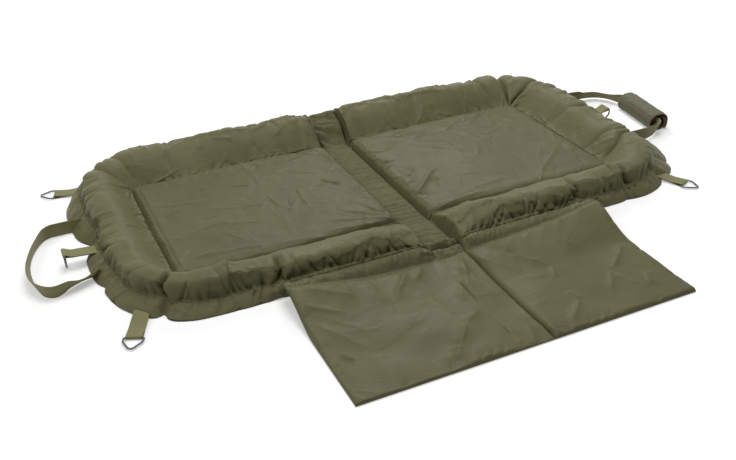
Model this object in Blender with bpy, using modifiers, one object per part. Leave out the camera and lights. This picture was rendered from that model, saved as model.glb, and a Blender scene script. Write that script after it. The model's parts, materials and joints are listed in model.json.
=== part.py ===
"""A folding padded fish mat with raised sides, a kneeling flap and two carry handles.

Metres, +Z up, +X towards the right end, +Y towards the back. The origin is the middle of the
mat's underside, on the fold line. The mat lies open on the ground, as it is used.

Run it with: blender --background --python part.py
"""

import math

import bmesh
import bpy
import numpy as np
from mathutils import Matrix, Vector

MM = 0.001
DEG = math.pi / 180

# Clearances and cloth
GAP = 0.3 * MM
BASE_CLOTH = 1.5 * MM
TOP_CLOTH = 1.2 * MM
CREASE_CLEARANCE = 0.4 * MM
CREASE_RISE = 0.2 * MM
PAD_SETBACK = 2.6 * MM
OVERRUN = 6.0 * MM

# The mat's plan, from the fold outwards
CREASE_X = 26.5 * MM
PANEL_END_X = 418.0 * MM
PANEL_HALF_WIDTH = 170.0 * MM
SEAM_CORNER_RADIUS = 20.0 * MM
PANEL_EDGE_HEIGHT = 21.0 * MM
PANEL_CROWN = 3.5 * MM
PANEL_SHOULDER = 9.0 * MM

# The bolster, the stuffed wall round each half
BOLSTER_WIDTH = 104.0 * MM
BOLSTER_HEIGHT = 66.0 * MM
INNER_SEAM_HEIGHT = 24.0 * MM
OUTER_SEAM_HEIGHT = 34.0 * MM
PINCH_LENGTH = 62.0 * MM
PINCH_SHARE = 0.16
CORNER_DIP_SHARE = 0.14
CORNER_DIP_SPREAD = 16.0 * DEG
CORE_SPLIT = 2.0 * MM
PUFF_SHARE = 0.72

# The gathered rim outside the bolster
RIM_DEPTH_SIDE = 6.0 * MM
RIM_DEPTH_END = 30.0 * MM
RIM_SECTION_SHARES = (
    (0.0, 0.0), (0.9, 0.0), (1.0, 0.3), (0.93, 0.62), (0.66, 0.88), (0.3, 1.0), (0.0, 0.97),
)
BASE_EDGE_SHARE = 0.86

# The strip across the fold
SPINE_EDGE_CLEARANCE = 0.3 * MM

# The kneeling flap in front
FLAP_HINGE_Z = -0.5 * MM
FLAP_SETBACK = 3.0 * MM
FLAP_HALF_LENGTH = 283.0 * MM
FLAP_FRONT_Y = -545.0 * MM
FLAP_THICKNESS = 11.0 * MM
FLAP_CROWN = 2.5 * MM
FLAP_SHOULDER = 14.0 * MM
FLAP_BOTTOM_CLOTH = 1.0 * MM
FLAP_CORNER_RADIUS = 7.0 * MM
FLAP_STRIP_THICKNESS = 2.5 * MM
HINGE_CLOTH = 0.8 * MM
HINGE_CLOTH_LOW = 0.1 * MM

# Webbing
WEBBING_WIDTH = 25.0 * MM
WEBBING_THICKNESS = 2.2 * MM

# Handles: the strap pivots stand off the rim by a little over half the webbing's width
HANDLE_STANDOFF = 14.0 * MM
ANCHOR_LAP = 5.0 * MM
ANCHOR_PATCH_LENGTH = 28.0 * MM
LEFT_STRAP_LOW = 0.8 * MM
LEFT_REACH = 56.5 * MM
LEFT_SPREAD = 180.0 * MM
LEFT_MIDDLE_Y = -10.8 * MM
LEFT_ROUTE_SHARES = (
    (0.0, 0.5), (0.1, 0.5), (0.2, 0.495), (0.36, 0.45), (0.62, 0.29), (0.86, 0.09), (1.0, -0.11),
    (1.0, -0.33), (0.92, -0.52), (0.73, -0.66), (0.5, -0.69), (0.36, -0.63), (0.3, -0.56), (0.26, -0.5),
    (0.2, -0.5), (0.1, -0.5), (0.0, -0.5),
)
RIGHT_STRAP_CLEARANCE = 0.5 * MM
RIGHT_UPPER_Y = 138.0 * MM
RIGHT_LOWER_Y = -86.5 * MM
GRIP_CENTRE_REACH = 68.0 * MM
GRIP_CENTRE_Y = 1.0 * MM
GRIP_TILT = 8.0 * DEG
GRIP_STRAIGHT = 132.0 * MM
RIGHT_UPPER_SHARES = ((0.0, 1.0), (0.1, 1.0), (0.24, 0.995), (0.6, 0.96), (0.9, 0.83), (1.04, 0.66))
RIGHT_LOWER_SHARES = (
    (0.9, 0.87), (0.68, 1.05), (0.45, 1.09), (0.3, 1.05), (0.22, 1.0), (0.1, 1.0), (0.0, 1.0),
)
ROUTE_STEPS = 3

# The wrap round the right handle: half width and half height of its outside, and its cloth
GRIP_LENGTH = 118.0 * MM
GRIP_HALF_WIDTH = 19.0 * MM
GRIP_HALF_HEIGHT = 15.9 * MM
GRIP_WALL = 2.4 * MM
GRIP_SQUARENESS = 0.8
TAPE_THICKNESS = 0.8 * MM
TAPE_END_MARGIN = 6.0 * MM
GRIP_HINGE_ANGLE = 34.0 * DEG
GRIP_COVER_CLEAR_ANGLE = 112.0 * DEG
GRIP_TROUGH_END_ANGLE = 150.0 * DEG
TAPE_START_ANGLE = 158.0 * DEG
TAPE_STOP_ANGLE = 206.0 * DEG
GRIP_COVER_END_ANGLE = 214.0 * DEG
GRIP_EDGE_CLEARANCE = 0.5 * MM
GRIP_ARC_STEPS = 18

# Webbing tabs and the rings in them
RING_WIRE_RADIUS = 1.5 * MM
RING_EYE_CLEARANCE = 0.35 * MM
RING_SIDE_CLEARANCE = 0.8 * MM
RING_LENGTH = 26.0 * MM
RING_SHOULDER_SHARE = 0.36
RING_NOSE_HALF_SHARE = 0.2
RING_BEND_RADIUS = 3.0 * MM
EYE_WALL = 1.2 * MM
TAB_THICKNESS = 2.4 * MM
TAB_ROOT = 8.0 * MM
CORNER_TAB_REACH = 22.0 * MM
END_TAB_REACH = 13.0 * MM
END_TAB_KNEE = 3.0 * MM
FRONT_TAB_PLACE = 45.0 * DEG
FRONT_TAB_HEADING = 66.0 * DEG
BACK_TAB_PLACE = 32.0 * DEG
BACK_TAB_HEADING = 16.0 * DEG
LEFT_END_TAB_Y = -30.0 * MM
RIGHT_END_TAB_Y = 36.0 * MM
EYE_SIDES = 16

# Fineness of the lofted forms
LONG_STEPS = 12
LONG_EASE = 1.6
CORNER_STEPS = 6
END_STEPS = 7
PROFILE_STEPS = 8
BOARD_CORNER_STEPS = 4

# Worked out from the values above
CREASE_Z = BASE_CLOTH + CREASE_RISE
HALF_START_X = CREASE_X + PAD_SETBACK
PAD_LOW = BASE_CLOTH + GAP
SEAM_CENTRE_X = PANEL_END_X - SEAM_CORNER_RADIUS
SEAM_CENTRE_Y = PANEL_HALF_WIDTH - SEAM_CORNER_RADIUS
RIM_START = BOLSTER_WIDTH + GAP
RIM_END_X = PANEL_END_X + RIM_START + RIM_DEPTH_END
SIDE_EDGE_Y = PANEL_HALF_WIDTH + RIM_START + RIM_DEPTH_SIDE * BASE_EDGE_SHARE
EYE_RADIUS = RING_WIRE_RADIUS + RING_EYE_CLEARANCE
EYE_OUTER_RADIUS = EYE_RADIUS + EYE_WALL
FLAT_EYE_HEIGHT = EYE_OUTER_RADIUS + GAP
HANGING_EYE_HEIGHT = RING_LENGTH + RING_WIRE_RADIUS + GAP
HANDLE_PIVOT_X = RIM_END_X + HANDLE_STANDOFF
SPINE_EDGE_HEIGHT = CREASE_Z + PAD_SETBACK - SPINE_EDGE_CLEARANCE
FLAP_HINGE_Y = -(PANEL_HALF_WIDTH + RIM_START + RIM_DEPTH_SIDE + FLAP_THICKNESS - FLAP_HINGE_Z + 2 * GAP)
GRIP_CENTRE_Z = GRIP_HALF_HEIGHT + GAP
RIGHT_STRAP_LOW = GAP + GRIP_WALL + RIGHT_STRAP_CLEARANCE
TAPE_BUILD = 3 * GAP + 2 * TAPE_THICKNESS

MATERIALS = {
    "mat_cloth": ((0.150, 0.148, 0.082), 0.50, 0.0),
    "base_cloth": ((0.045, 0.045, 0.030), 0.70, 0.0),
    "foam": ((0.60, 0.60, 0.56), 0.90, 0.0),
    "fibre": ((0.78, 0.78, 0.74), 0.95, 0.0),
    "webbing": ((0.200, 0.195, 0.085), 0.80, 0.0),
    "grip_cloth": ((0.110, 0.140, 0.072), 0.65, 0.0),
    "tape": ((0.012, 0.012, 0.011), 0.85, 0.0),
    "ring_metal": ((0.060, 0.060, 0.065), 0.35, 1.0),
}


def clear_scene():
    for old in list(bpy.data.objects):
        bpy.data.objects.remove(old, do_unlink=True)


def make_collection(name):
    collection = bpy.data.collections.new(name)
    bpy.context.scene.collection.children.link(collection)
    return collection


def make_material(name):
    colour, roughness, metallic = MATERIALS[name]
    material = bpy.data.materials.new(name)
    material.use_nodes = True
    shader = material.node_tree.nodes["Principled BSDF"]
    shader.inputs["Base Color"].default_value = (*colour, 1.0)
    shader.inputs["Roughness"].default_value = roughness
    shader.inputs["Metallic"].default_value = metallic
    return material


def make_pivot(name, place, parent=None):
    """An empty on a joint's axis, which carries the pieces that turn there."""
    pivot = bpy.data.objects.new(name, None)
    pivot.empty_display_size = BOLSTER_HEIGHT
    pivot.location = place
    PARTS.objects.link(pivot)
    if parent is not None:
        pivot.parent = parent
        pivot.location = Vector(place) - parent.matrix_basis.translation - offset_of(parent)
    return pivot


def offset_of(item):
    """Where an empty's own parents stand, because nothing here is turned or scaled."""
    total = Vector((0.0, 0.0, 0.0))
    above = item.parent
    while above is not None:
        total = total + above.location
        above = above.parent
    return total


def hang(item, pivot):
    """Parent a piece to its joint's empty and leave it where it stands."""
    if pivot is not None:
        item.parent = pivot
        item.matrix_parent_inverse = Matrix.Translation(-(pivot.location + offset_of(pivot)))
    return item


def add_object(name, data, material, pivot):
    item = bpy.data.objects.new(name, data)
    data.materials.append(SHADES[material])
    PARTS.objects.link(item)
    return hang(item, pivot)


def mesh_object(name, mesh_builder, material, pivot, smooth=True):
    """Finish a bmesh: weld it, turn its faces out and make it a named object."""
    bmesh.ops.recalc_face_normals(mesh_builder, faces=mesh_builder.faces[:])
    mesh = bpy.data.meshes.new(name)
    mesh_builder.to_mesh(mesh)
    mesh_builder.free()
    if smooth:
        mesh.shade_smooth()
        mesh.set_sharp_from_angle(angle=40 * DEG)
    return add_object(name, mesh, material, pivot)


def box_mesh(low, high):
    """A box primitive between two corners."""
    builder = bmesh.new()
    bmesh.ops.create_cube(builder, size=1.0)
    size = Vector(high) - Vector(low)
    centre = (Vector(high) + Vector(low)) / 2
    bmesh.ops.scale(builder, vec=size, verts=builder.verts)
    bmesh.ops.translate(builder, vec=centre, verts=builder.verts)
    return builder


def box(name, low, high, material, pivot):
    return mesh_object(name, box_mesh(low, high), material, pivot, smooth=False)


def loft(sections, side):
    """Join closed cross-sections, one per row, into a solid with flat ends."""
    builder = bmesh.new()
    rows = []
    for section in sections:
        rows.append([builder.verts.new((side * x, y, z)) for x, y, z in section])
    count = len(rows[0])
    for near, far in zip(rows, rows[1:]):
        for i in range(count):
            j = (i + 1) % count
            builder.faces.new((near[i], near[j], far[j], far[i]))
    builder.faces.new(rows[0])
    builder.faces.new(list(reversed(rows[-1])))
    bmesh.ops.triangulate(builder, faces=builder.faces[:], quad_method="FIXED")
    return builder


def outline_object(name, outlines, thickness, matrix, material, pivot):
    """A flat outline, with any holes, filled and extruded to a plate of one thickness."""
    curve = bpy.data.curves.new(name, "CURVE")
    curve.dimensions = "2D"
    curve.fill_mode = "BOTH"
    curve.extrude = thickness / 2
    for points in outlines:
        spline = curve.splines.new("POLY")
        spline.points.add(len(points) - 1)
        for knot, (x, y) in zip(spline.points, points):
            knot.co = (x, y, 0.0, 1.0)
        spline.use_cyclic_u = True
    item = bpy.data.objects.new(name, curve)
    item.matrix_world = matrix
    return as_mesh(item, name, material, pivot)


def wire_object(name, points, radius, resolution, matrix, material, pivot):
    """A closed loop of round wire."""
    curve = bpy.data.curves.new(name, "CURVE")
    curve.dimensions = "3D"
    curve.bevel_depth = radius
    curve.bevel_resolution = resolution
    spline = curve.splines.new("POLY")
    spline.points.add(len(points) - 1)
    for knot, (x, y) in zip(spline.points, points):
        knot.co = (x, y, 0.0, 1.0)
    spline.use_cyclic_u = True
    item = bpy.data.objects.new(name, curve)
    item.matrix_world = matrix
    return as_mesh(item, name, material, pivot)


def as_mesh(item, name, material, pivot):
    """Turn a curve into a welded mesh in its own place, and remove the curve."""
    PARTS.objects.link(item)
    bpy.context.view_layer.update()
    graph = bpy.context.evaluated_depsgraph_get()
    mesh = bpy.data.meshes.new_from_object(item.evaluated_get(graph))
    mesh.transform(item.matrix_world)
    curve = item.data
    bpy.data.objects.remove(item, do_unlink=True)
    bpy.data.curves.remove(curve)
    builder = bmesh.new()
    builder.from_mesh(mesh)
    bpy.data.meshes.remove(mesh)
    bmesh.ops.remove_doubles(builder, verts=builder.verts[:], dist=GAP / 100)
    return mesh_object(name, builder, material, pivot)


def cut(item, name, builder):
    """Cut a hidden shape out of a piece."""
    mesh = bpy.data.meshes.new(name)
    builder.to_mesh(mesh)
    builder.free()
    cutter = bpy.data.objects.new(name, mesh)
    cutter.hide_render = True
    cutter.display_type = "WIRE"
    CUTTERS.objects.link(cutter)
    notch = item.modifiers.new(name, "BOOLEAN")
    notch.operation = "DIFFERENCE"
    notch.solver = "EXACT"
    notch.object = cutter


def seam_stations():
    """Points along the inner seam, from the fold at the back round the end to the front.

    Gives each point, its direction away from the panel, its distance from the fold along X
    and how far round its corner it stands, as an angle from the nearer 45 degree line.
    """
    eased = np.linspace(0.0, 1.0, LONG_STEPS + 1) ** LONG_EASE
    long_x = HALF_START_X + (SEAM_CENTRE_X - HALF_START_X) * eased
    turn = np.linspace(90 * DEG, 0.0, CORNER_STEPS + 1)
    end_y = np.linspace(SEAM_CENTRE_Y, -SEAM_CENTRE_Y, END_STEPS + 1)
    places = []
    headings = []
    for x in long_x[:-1]:
        places.append((x, PANEL_HALF_WIDTH))
        headings.append(90 * DEG)
    for angle in turn:
        places.append((SEAM_CENTRE_X + SEAM_CORNER_RADIUS * math.cos(angle),
                       SEAM_CENTRE_Y + SEAM_CORNER_RADIUS * math.sin(angle)))
        headings.append(angle)
    for y in end_y[1:-1]:
        places.append((PANEL_END_X, y))
        headings.append(0.0)
    for angle in turn[::-1]:
        places.append((SEAM_CENTRE_X + SEAM_CORNER_RADIUS * math.cos(angle),
                       -SEAM_CENTRE_Y - SEAM_CORNER_RADIUS * math.sin(angle)))
        headings.append(-angle)
    for x in long_x[::-1][1:]:
        places.append((x, -PANEL_HALF_WIDTH))
        headings.append(-90 * DEG)
    headings = np.array(headings)
    normals = np.stack((np.cos(headings), np.sin(headings)), axis=1)
    return np.array(places), normals, headings


def bolster_heights(places, headings):
    """Crest height at each station: pinched down at the fold, dipped at each corner."""
    run = np.clip((places[:, 0] - HALF_START_X) / PINCH_LENGTH, 0.0, 1.0)
    pinch = PINCH_SHARE + (1 - PINCH_SHARE) * np.sin(run * math.pi / 2) ** PUFF_SHARE
    from_diagonal = np.abs(headings) - 45 * DEG
    dip = 1 - CORNER_DIP_SHARE * np.exp(-(from_diagonal / CORNER_DIP_SPREAD) ** 2)
    return OUTER_SEAM_HEIGHT + (BOLSTER_HEIGHT - OUTER_SEAM_HEIGHT) * pinch * dip


def bolster_outline(crest):
    """A bolster's section from its inner foot over the crest to its outer foot.

    Pairs of distance from the inner seam and height: half a full-bodied ellipse that stands
    on the two seams, with a straight foot below each.
    """
    angles = np.linspace(math.pi, 0.0, PROFILE_STEPS + 1)
    across = (np.cos(angles) + 1) / 2
    seam = INNER_SEAM_HEIGHT + (OUTER_SEAM_HEIGHT - INNER_SEAM_HEIGHT) * across
    width = BOLSTER_WIDTH - GAP
    bow = np.sin(angles).clip(0, 1) ** PUFF_SHARE
    top = np.stack((GAP + width * across, seam + (crest - seam) * bow), axis=1)
    inner_foot = np.array(((GAP, PAD_LOW),))
    outer_foot = np.array(((BOLSTER_WIDTH, PAD_LOW),))
    return np.concatenate((inner_foot, top, outer_foot))


def inset_line(points, depth):
    """Move an open section line inwards by a cloth's depth, square to itself."""
    steps = np.diff(points, axis=0)
    normals = np.stack((steps[:, 1], -steps[:, 0]), axis=1)
    normals /= np.linalg.norm(normals, axis=1)[:, None]
    before = np.concatenate((normals[:1], normals))
    after = np.concatenate((normals, normals[-1:]))
    middle = before + after
    middle /= (np.linalg.norm(middle, axis=1) ** 2 / 2)[:, None]
    return points + depth * middle


def place_section(line, place, normal):
    """Stand a section line on a station of the seam."""
    spots = place + line[:, :1] * normal
    return np.concatenate((spots, line[:, 1:]), axis=1)


def add_bolster_cover(name, side, pivot):
    places, normals, headings = seam_stations()
    sections = []
    for place, normal, crest in zip(places, normals, bolster_heights(places, headings)):
        outer = bolster_outline(crest)
        inner = inset_line(outer, TOP_CLOTH)
        sections.append(place_section(np.concatenate((outer, inner[::-1])), place, normal))
    return mesh_object(name, loft(sections, side), "mat_cloth", pivot)


def add_bolster_cores(names, side, pivot):
    """The filling in three lengths, which meet on the two corners' diagonals."""
    places, normals, headings = seam_stations()
    heights = bolster_heights(places, headings)
    first = LONG_STEPS + CORNER_STEPS // 2
    second = len(places) - 1 - first
    lengths = ((0, first), (first, second), (second, len(places) - 1))
    for name, (start, stop) in zip(names, lengths):
        sections = []
        for i in range(start, stop + 1):
            line = inset_line(bolster_outline(heights[i]), TOP_CLOTH + GAP)
            place = places[i]
            if i in (start, stop) and i in (first, second):
                along = places[i + 1] - places[i - 1]
                along = along / np.linalg.norm(along)
                place = place + along * CORE_SPLIT / 2 * (1 if i == start else -1)
            sections.append(place_section(line[::-1], place, normals[i]))
        mesh_object(name, loft(sections, side), "fibre", pivot)


def rim_depths(headings):
    """The rim stands out further at the mat's ends than along its sides."""
    return RIM_DEPTH_SIDE + (RIM_DEPTH_END - RIM_DEPTH_SIDE) * np.cos(headings) ** 2


def add_rim(name, side, pivot):
    places, normals, headings = seam_stations()
    shares = np.array(RIM_SECTION_SHARES)
    sections = []
    for place, normal, depth in zip(places, normals, rim_depths(headings)):
        line = np.stack((RIM_START + depth * shares[:, 0],
                         PAD_LOW + (OUTER_SEAM_HEIGHT - PAD_LOW) * shares[:, 1]), axis=1)
        sections.append(place_section(line, place, normal))
    return mesh_object(name, loft(sections, side), "mat_cloth", pivot)


def add_base_sheet(name, side, pivot):
    """The underside of one half, with a tongue in front that carries the flap's hinge."""
    places, normals, headings = seam_stations()
    reach = RIM_START + rim_depths(headings) * BASE_EDGE_SHARE
    edge = places + reach[:, None] * normals
    on_front = headings <= headings.min()
    keep = ~on_front | (edge[:, 0] > FLAP_HALF_LENGTH)
    tongue_y = FLAP_HINGE_Y + CREASE_CLEARANCE
    start_x = CREASE_X + CREASE_CLEARANCE
    outline = [(start_x, edge[0, 1])]
    outline += [tuple(point) for point in edge[keep]]
    outline += [(FLAP_HALF_LENGTH, edge[-1, 1]), (FLAP_HALF_LENGTH, tongue_y), (start_x, tongue_y)]
    outline = [(side * x, y) for x, y in outline]
    return outline_object(name, [outline], BASE_CLOTH, Matrix.Translation((0.0, 0.0, BASE_CLOTH / 2)),
                          "base_cloth", pivot)


def rounded_ring(low, high, radius, inset, height):
    """One level of a board: a rectangle with round corners, drawn in by an inset."""
    corner = max(radius - inset, radius / 4)
    ring = []
    corners = ((high[0], high[1]), (low[0], high[1]), (low[0], low[1]), (high[0], low[1]))
    for k, (cx, cy) in enumerate(corners):
        x = cx - math.copysign(inset + corner, cx - (low[0] + high[0]) / 2)
        y = cy - math.copysign(inset + corner, cy - (low[1] + high[1]) / 2)
        for step in range(BOARD_CORNER_STEPS + 1):
            angle = (k + step / BOARD_CORNER_STEPS) * 90 * DEG
            ring.append((x + corner * math.cos(angle), y + corner * math.sin(angle), height))
    return ring


def board(name, low, high, radius, levels, material, pivot, shell=0.0):
    """A padded board: rounded rings stacked from the bottom to a crowned top.

    Each level is an inset and a height. With a shell thickness it is an open cover, like a
    shallow lid, and without one it is solid.
    """
    builder = bmesh.new()
    rings = []
    for inset, height in levels:
        ring = rounded_ring(low, high, radius, inset, height)
        rings.append([builder.verts.new(spot) for spot in ring])
    count = len(rings[0])
    for near, far in zip(rings, rings[1:]):
        for i in range(count):
            j = (i + 1) % count
            builder.faces.new((near[i], near[j], far[j], far[i]))
    builder.faces.new(rings[-1])
    if not shell:
        builder.faces.new(list(reversed(rings[0])))
        return mesh_object(name, builder, material, pivot)
    item = mesh_object(name, builder, material, pivot)
    wall = item.modifiers.new("cloth", "SOLIDIFY")
    wall.thickness = shell
    wall.offset = -1.0
    wall.use_even_offset = True
    return item


def crowned_levels(bottom, edge, crown, shoulder):
    """Levels of a board whose top rises from a rounded shoulder to its middle."""
    return ((0.0, bottom), (0.0, edge), (shoulder / 3, edge + crown / 2), (shoulder, edge + crown * 0.85),
            (4 * shoulder, edge + crown))


def add_panel(suffix, side, pivot):
    spans = sorted((side * HALF_START_X, side * PANEL_END_X))
    low = (spans[0], -PANEL_HALF_WIDTH)
    high = (spans[1], PANEL_HALF_WIDTH)
    levels = crowned_levels(PAD_LOW, PANEL_EDGE_HEIGHT, PANEL_CROWN, PANEL_SHOULDER)
    board("panel_cover_" + suffix, low, high, SEAM_CORNER_RADIUS, levels, "mat_cloth", pivot, TOP_CLOTH)
    inset = TOP_CLOTH + GAP
    low = (low[0] + inset, low[1] + inset)
    high = (high[0] - inset, high[1] - inset)
    top = PANEL_EDGE_HEIGHT - 2 * inset
    levels = crowned_levels(PAD_LOW, top, PANEL_CROWN, PANEL_SHOULDER)
    board("panel_foam_" + suffix, low, high, SEAM_CORNER_RADIUS - inset, levels, "foam", pivot)


def add_flap_half(suffix, side, pivot):
    spans = sorted((side * HALF_START_X, side * FLAP_HALF_LENGTH))
    low = (spans[0], FLAP_FRONT_Y)
    high = (spans[1], FLAP_HINGE_Y - FLAP_SETBACK)
    bottom = ((0.0, 0.0), (0.0, FLAP_BOTTOM_CLOTH))
    board("flap_bottom_" + suffix, low, high, FLAP_CORNER_RADIUS, bottom, "base_cloth", pivot)
    rise = FLAP_BOTTOM_CLOTH + GAP
    edge = FLAP_THICKNESS - FLAP_CROWN
    levels = crowned_levels(rise, edge, FLAP_CROWN, FLAP_SHOULDER)
    board("flap_top_" + suffix, low, high, FLAP_CORNER_RADIUS, levels, "mat_cloth", pivot, TOP_CLOTH)
    inset = TOP_CLOTH + GAP
    low = (low[0] + inset, low[1] + inset)
    high = (high[0] - inset, high[1] - inset)
    levels = crowned_levels(rise, edge - 2 * inset, FLAP_CROWN, FLAP_SHOULDER)
    board("flap_foam_" + suffix, low, high, FLAP_CORNER_RADIUS - inset, levels, "foam", pivot)


def smooth_path(points, steps):
    """Catmull-Rom curve: it passes through every point, with that many steps between two."""
    points = np.array(points)
    padded = np.concatenate((2 * points[:1] - points[1:2], points, 2 * points[-1:] - points[-2:-1]))
    path = []
    for i in range(1, len(padded) - 2):
        a, b, c, d = padded[i - 1:i + 3]
        for t in np.arange(steps) / steps:
            path.append(b + (c - a) * t / 2 + (2 * a - 5 * b + 4 * c - d) * t ** 2 / 2
                        + (3 * b - 3 * c + d - a) * t ** 3 / 2)
    path.append(padded[-2])
    return np.array(path)


def ribbon_outline(path, thickness):
    """The plan of webbing on edge: half its thickness to each side of a path."""
    steps = np.diff(path, axis=0)
    steps /= np.linalg.norm(steps, axis=1)[:, None]
    before = np.concatenate((steps[:1], steps))
    after = np.concatenate((steps, steps[-1:]))
    square = np.stack((-(before + after)[:, 1], (before + after)[:, 0]), axis=1)
    square /= (np.linalg.norm(square, axis=1) ** 2 / 2)[:, None]
    left = path + square * thickness / 2
    right = path - square * thickness / 2
    return [tuple(point) for point in np.concatenate((left, right[::-1]))]


def upright_matrix(low):
    """Stand a plan outline as a strip of webbing whose lower edge has this height."""
    return Matrix.Translation((0.0, 0.0, low + WEBBING_WIDTH / 2))


def add_anchor(name, side, strap_y, outward, low, pivot):
    """A webbing end: sewn along the rim's face, then turned out beside the strap."""
    face_x = RIM_END_X + GAP + WEBBING_THICKNESS / 2
    y = strap_y + outward * (WEBBING_THICKNESS + GAP)
    patch_end = (face_x, y + outward * ANCHOR_PATCH_LENGTH)
    path = np.array((patch_end, (face_x, y), (HANDLE_PIVOT_X + ANCHOR_LAP, y)))
    outline = [(side * x, v) for x, v in ribbon_outline(path, WEBBING_THICKNESS)]
    return outline_object(name, [outline], WEBBING_WIDTH, upright_matrix(low), "webbing", pivot)


def left_route():
    points = []
    for reach, spread in LEFT_ROUTE_SHARES:
        points.append((-(HANDLE_PIVOT_X + reach * LEFT_REACH), LEFT_MIDDLE_Y + spread * LEFT_SPREAD))
    return smooth_path(points, ROUTE_STEPS)


def grip_frame():
    """The grip's centre on the ground plan, and the direction of the strap through it."""
    centre = np.array((HANDLE_PIVOT_X + GRIP_CENTRE_REACH, GRIP_CENTRE_Y))
    along = np.array((math.sin(GRIP_TILT), math.cos(GRIP_TILT)))
    return centre, along


def right_route():
    centre, along = grip_frame()
    points = []
    for reach, rise in RIGHT_UPPER_SHARES:
        points.append((HANDLE_PIVOT_X + reach * GRIP_CENTRE_REACH, RIGHT_UPPER_Y * rise))
    for stretch in np.linspace(GRIP_STRAIGHT / 2, -GRIP_STRAIGHT / 2, len(RIGHT_UPPER_SHARES)):
        points.append(tuple(centre + along * stretch))
    for reach, rise in RIGHT_LOWER_SHARES:
        points.append((HANDLE_PIVOT_X + reach * GRIP_CENTRE_REACH, RIGHT_LOWER_Y * rise))
    return smooth_path(points, ROUTE_STEPS)


def add_handles(left_half, right_half):
    middle = LEFT_STRAP_LOW + WEBBING_WIDTH / 2
    left = make_pivot("handle_left_pivot", (-HANDLE_PIVOT_X, 0.0, middle), left_half)
    middle = RIGHT_STRAP_LOW + WEBBING_WIDTH / 2
    right = make_pivot("handle_right_pivot", (HANDLE_PIVOT_X, 0.0, middle), right_half)
    outline = ribbon_outline(left_route(), WEBBING_THICKNESS)
    matrix = upright_matrix(LEFT_STRAP_LOW)
    outline_object("handle_strap_left", [outline], WEBBING_WIDTH, matrix, "webbing", left)
    outline = ribbon_outline(right_route(), WEBBING_THICKNESS)
    matrix = upright_matrix(RIGHT_STRAP_LOW)
    outline_object("handle_strap_right", [outline], WEBBING_WIDTH, matrix, "webbing", right)
    upper = LEFT_MIDDLE_Y + LEFT_ROUTE_SHARES[0][1] * LEFT_SPREAD
    lower = LEFT_MIDDLE_Y + LEFT_ROUTE_SHARES[-1][1] * LEFT_SPREAD
    add_anchor("handle_anchor_left_back", -1, upper, 1, LEFT_STRAP_LOW, left_half)
    add_anchor("handle_anchor_left_front", -1, lower, -1, LEFT_STRAP_LOW, left_half)
    add_anchor("handle_anchor_right_back", 1, RIGHT_UPPER_Y, 1, RIGHT_STRAP_LOW, right_half)
    add_anchor("handle_anchor_right_front", 1, RIGHT_LOWER_Y, -1, RIGHT_STRAP_LOW, right_half)
    return right


def grip_arc(start, stop, lift_start, lift_stop):
    """Points on the grip's rounded section, from one angle to another.

    The section is a rectangle rounded off by a power of its sine and cosine, lifted off its
    own surface by a distance that eases from one value to the other by the clear angle.
    """
    points = []
    for angle in np.linspace(start, stop, GRIP_ARC_STEPS + 1):
        ease = min(max((angle - start) / max(GRIP_COVER_CLEAR_ANGLE - start, GAP), 0.0), 1.0)
        ease = ease * ease * (3 - 2 * ease)
        lift = lift_start + (lift_stop - lift_start) * ease
        cosine = math.cos(angle)
        sine = math.sin(angle)
        x = (GRIP_HALF_WIDTH + lift) * math.copysign(abs(cosine) ** GRIP_SQUARENESS, cosine)
        y = (GRIP_HALF_HEIGHT + lift) * math.copysign(abs(sine) ** GRIP_SQUARENESS, sine)
        points.append((x, y))
    return points


def grip_matrix():
    """Section X towards the mat, section Y up, extruded along the strap."""
    centre, along = grip_frame()
    inwards = Vector((-along[1], along[0], 0.0))
    up = Vector((0.0, 0.0, 1.0))
    turn = Matrix((inwards, up, inwards.cross(up))).transposed().to_4x4()
    return Matrix.Translation((centre[0], centre[1], GRIP_CENTRE_Z)) @ turn


def add_grip(handle):
    """The padded wrap: a trough round the strap, a cover that closes over it, and tapes."""
    matrix = grip_matrix()
    hinge_spot = grip_arc(GRIP_HINGE_ANGLE, GRIP_COVER_END_ANGLE, GAP, GAP)[0]
    cover = make_pivot("grip_cover_pivot", matrix @ Vector((*hinge_spot, 0.0)), handle)
    start = GRIP_HINGE_ANGLE - GRIP_EDGE_CLEARANCE / GRIP_HALF_HEIGHT
    stop = GRIP_TROUGH_END_ANGLE - 360 * DEG
    outer = grip_arc(start, stop, 0.0, 0.0)
    inner = grip_arc(start, stop, -GRIP_WALL, -GRIP_WALL)
    outline_object("grip_trough", [outer + inner[::-1]], GRIP_LENGTH, matrix, "grip_cloth", handle)
    outer = grip_arc(GRIP_HINGE_ANGLE, GRIP_COVER_END_ANGLE, 0.0, TAPE_BUILD + GRIP_WALL)
    inner = grip_arc(GRIP_HINGE_ANGLE, GRIP_COVER_END_ANGLE, -GRIP_WALL, TAPE_BUILD)
    outline_object("grip_cover", [outer + inner[::-1]], GRIP_LENGTH, matrix, "grip_cloth", cover)
    tape_length = GRIP_LENGTH - 2 * TAPE_END_MARGIN
    for name, low, pivot in (("loop_tape", GAP, handle), ("hook_tape", 2 * GAP + TAPE_THICKNESS, cover)):
        high = low + TAPE_THICKNESS
        near = grip_arc(TAPE_START_ANGLE, TAPE_STOP_ANGLE, low, low)
        far = grip_arc(TAPE_START_ANGLE, TAPE_STOP_ANGLE, high, high)
        outline_object(name, [far + near[::-1]], tape_length, matrix, "tape", pivot)


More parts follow.
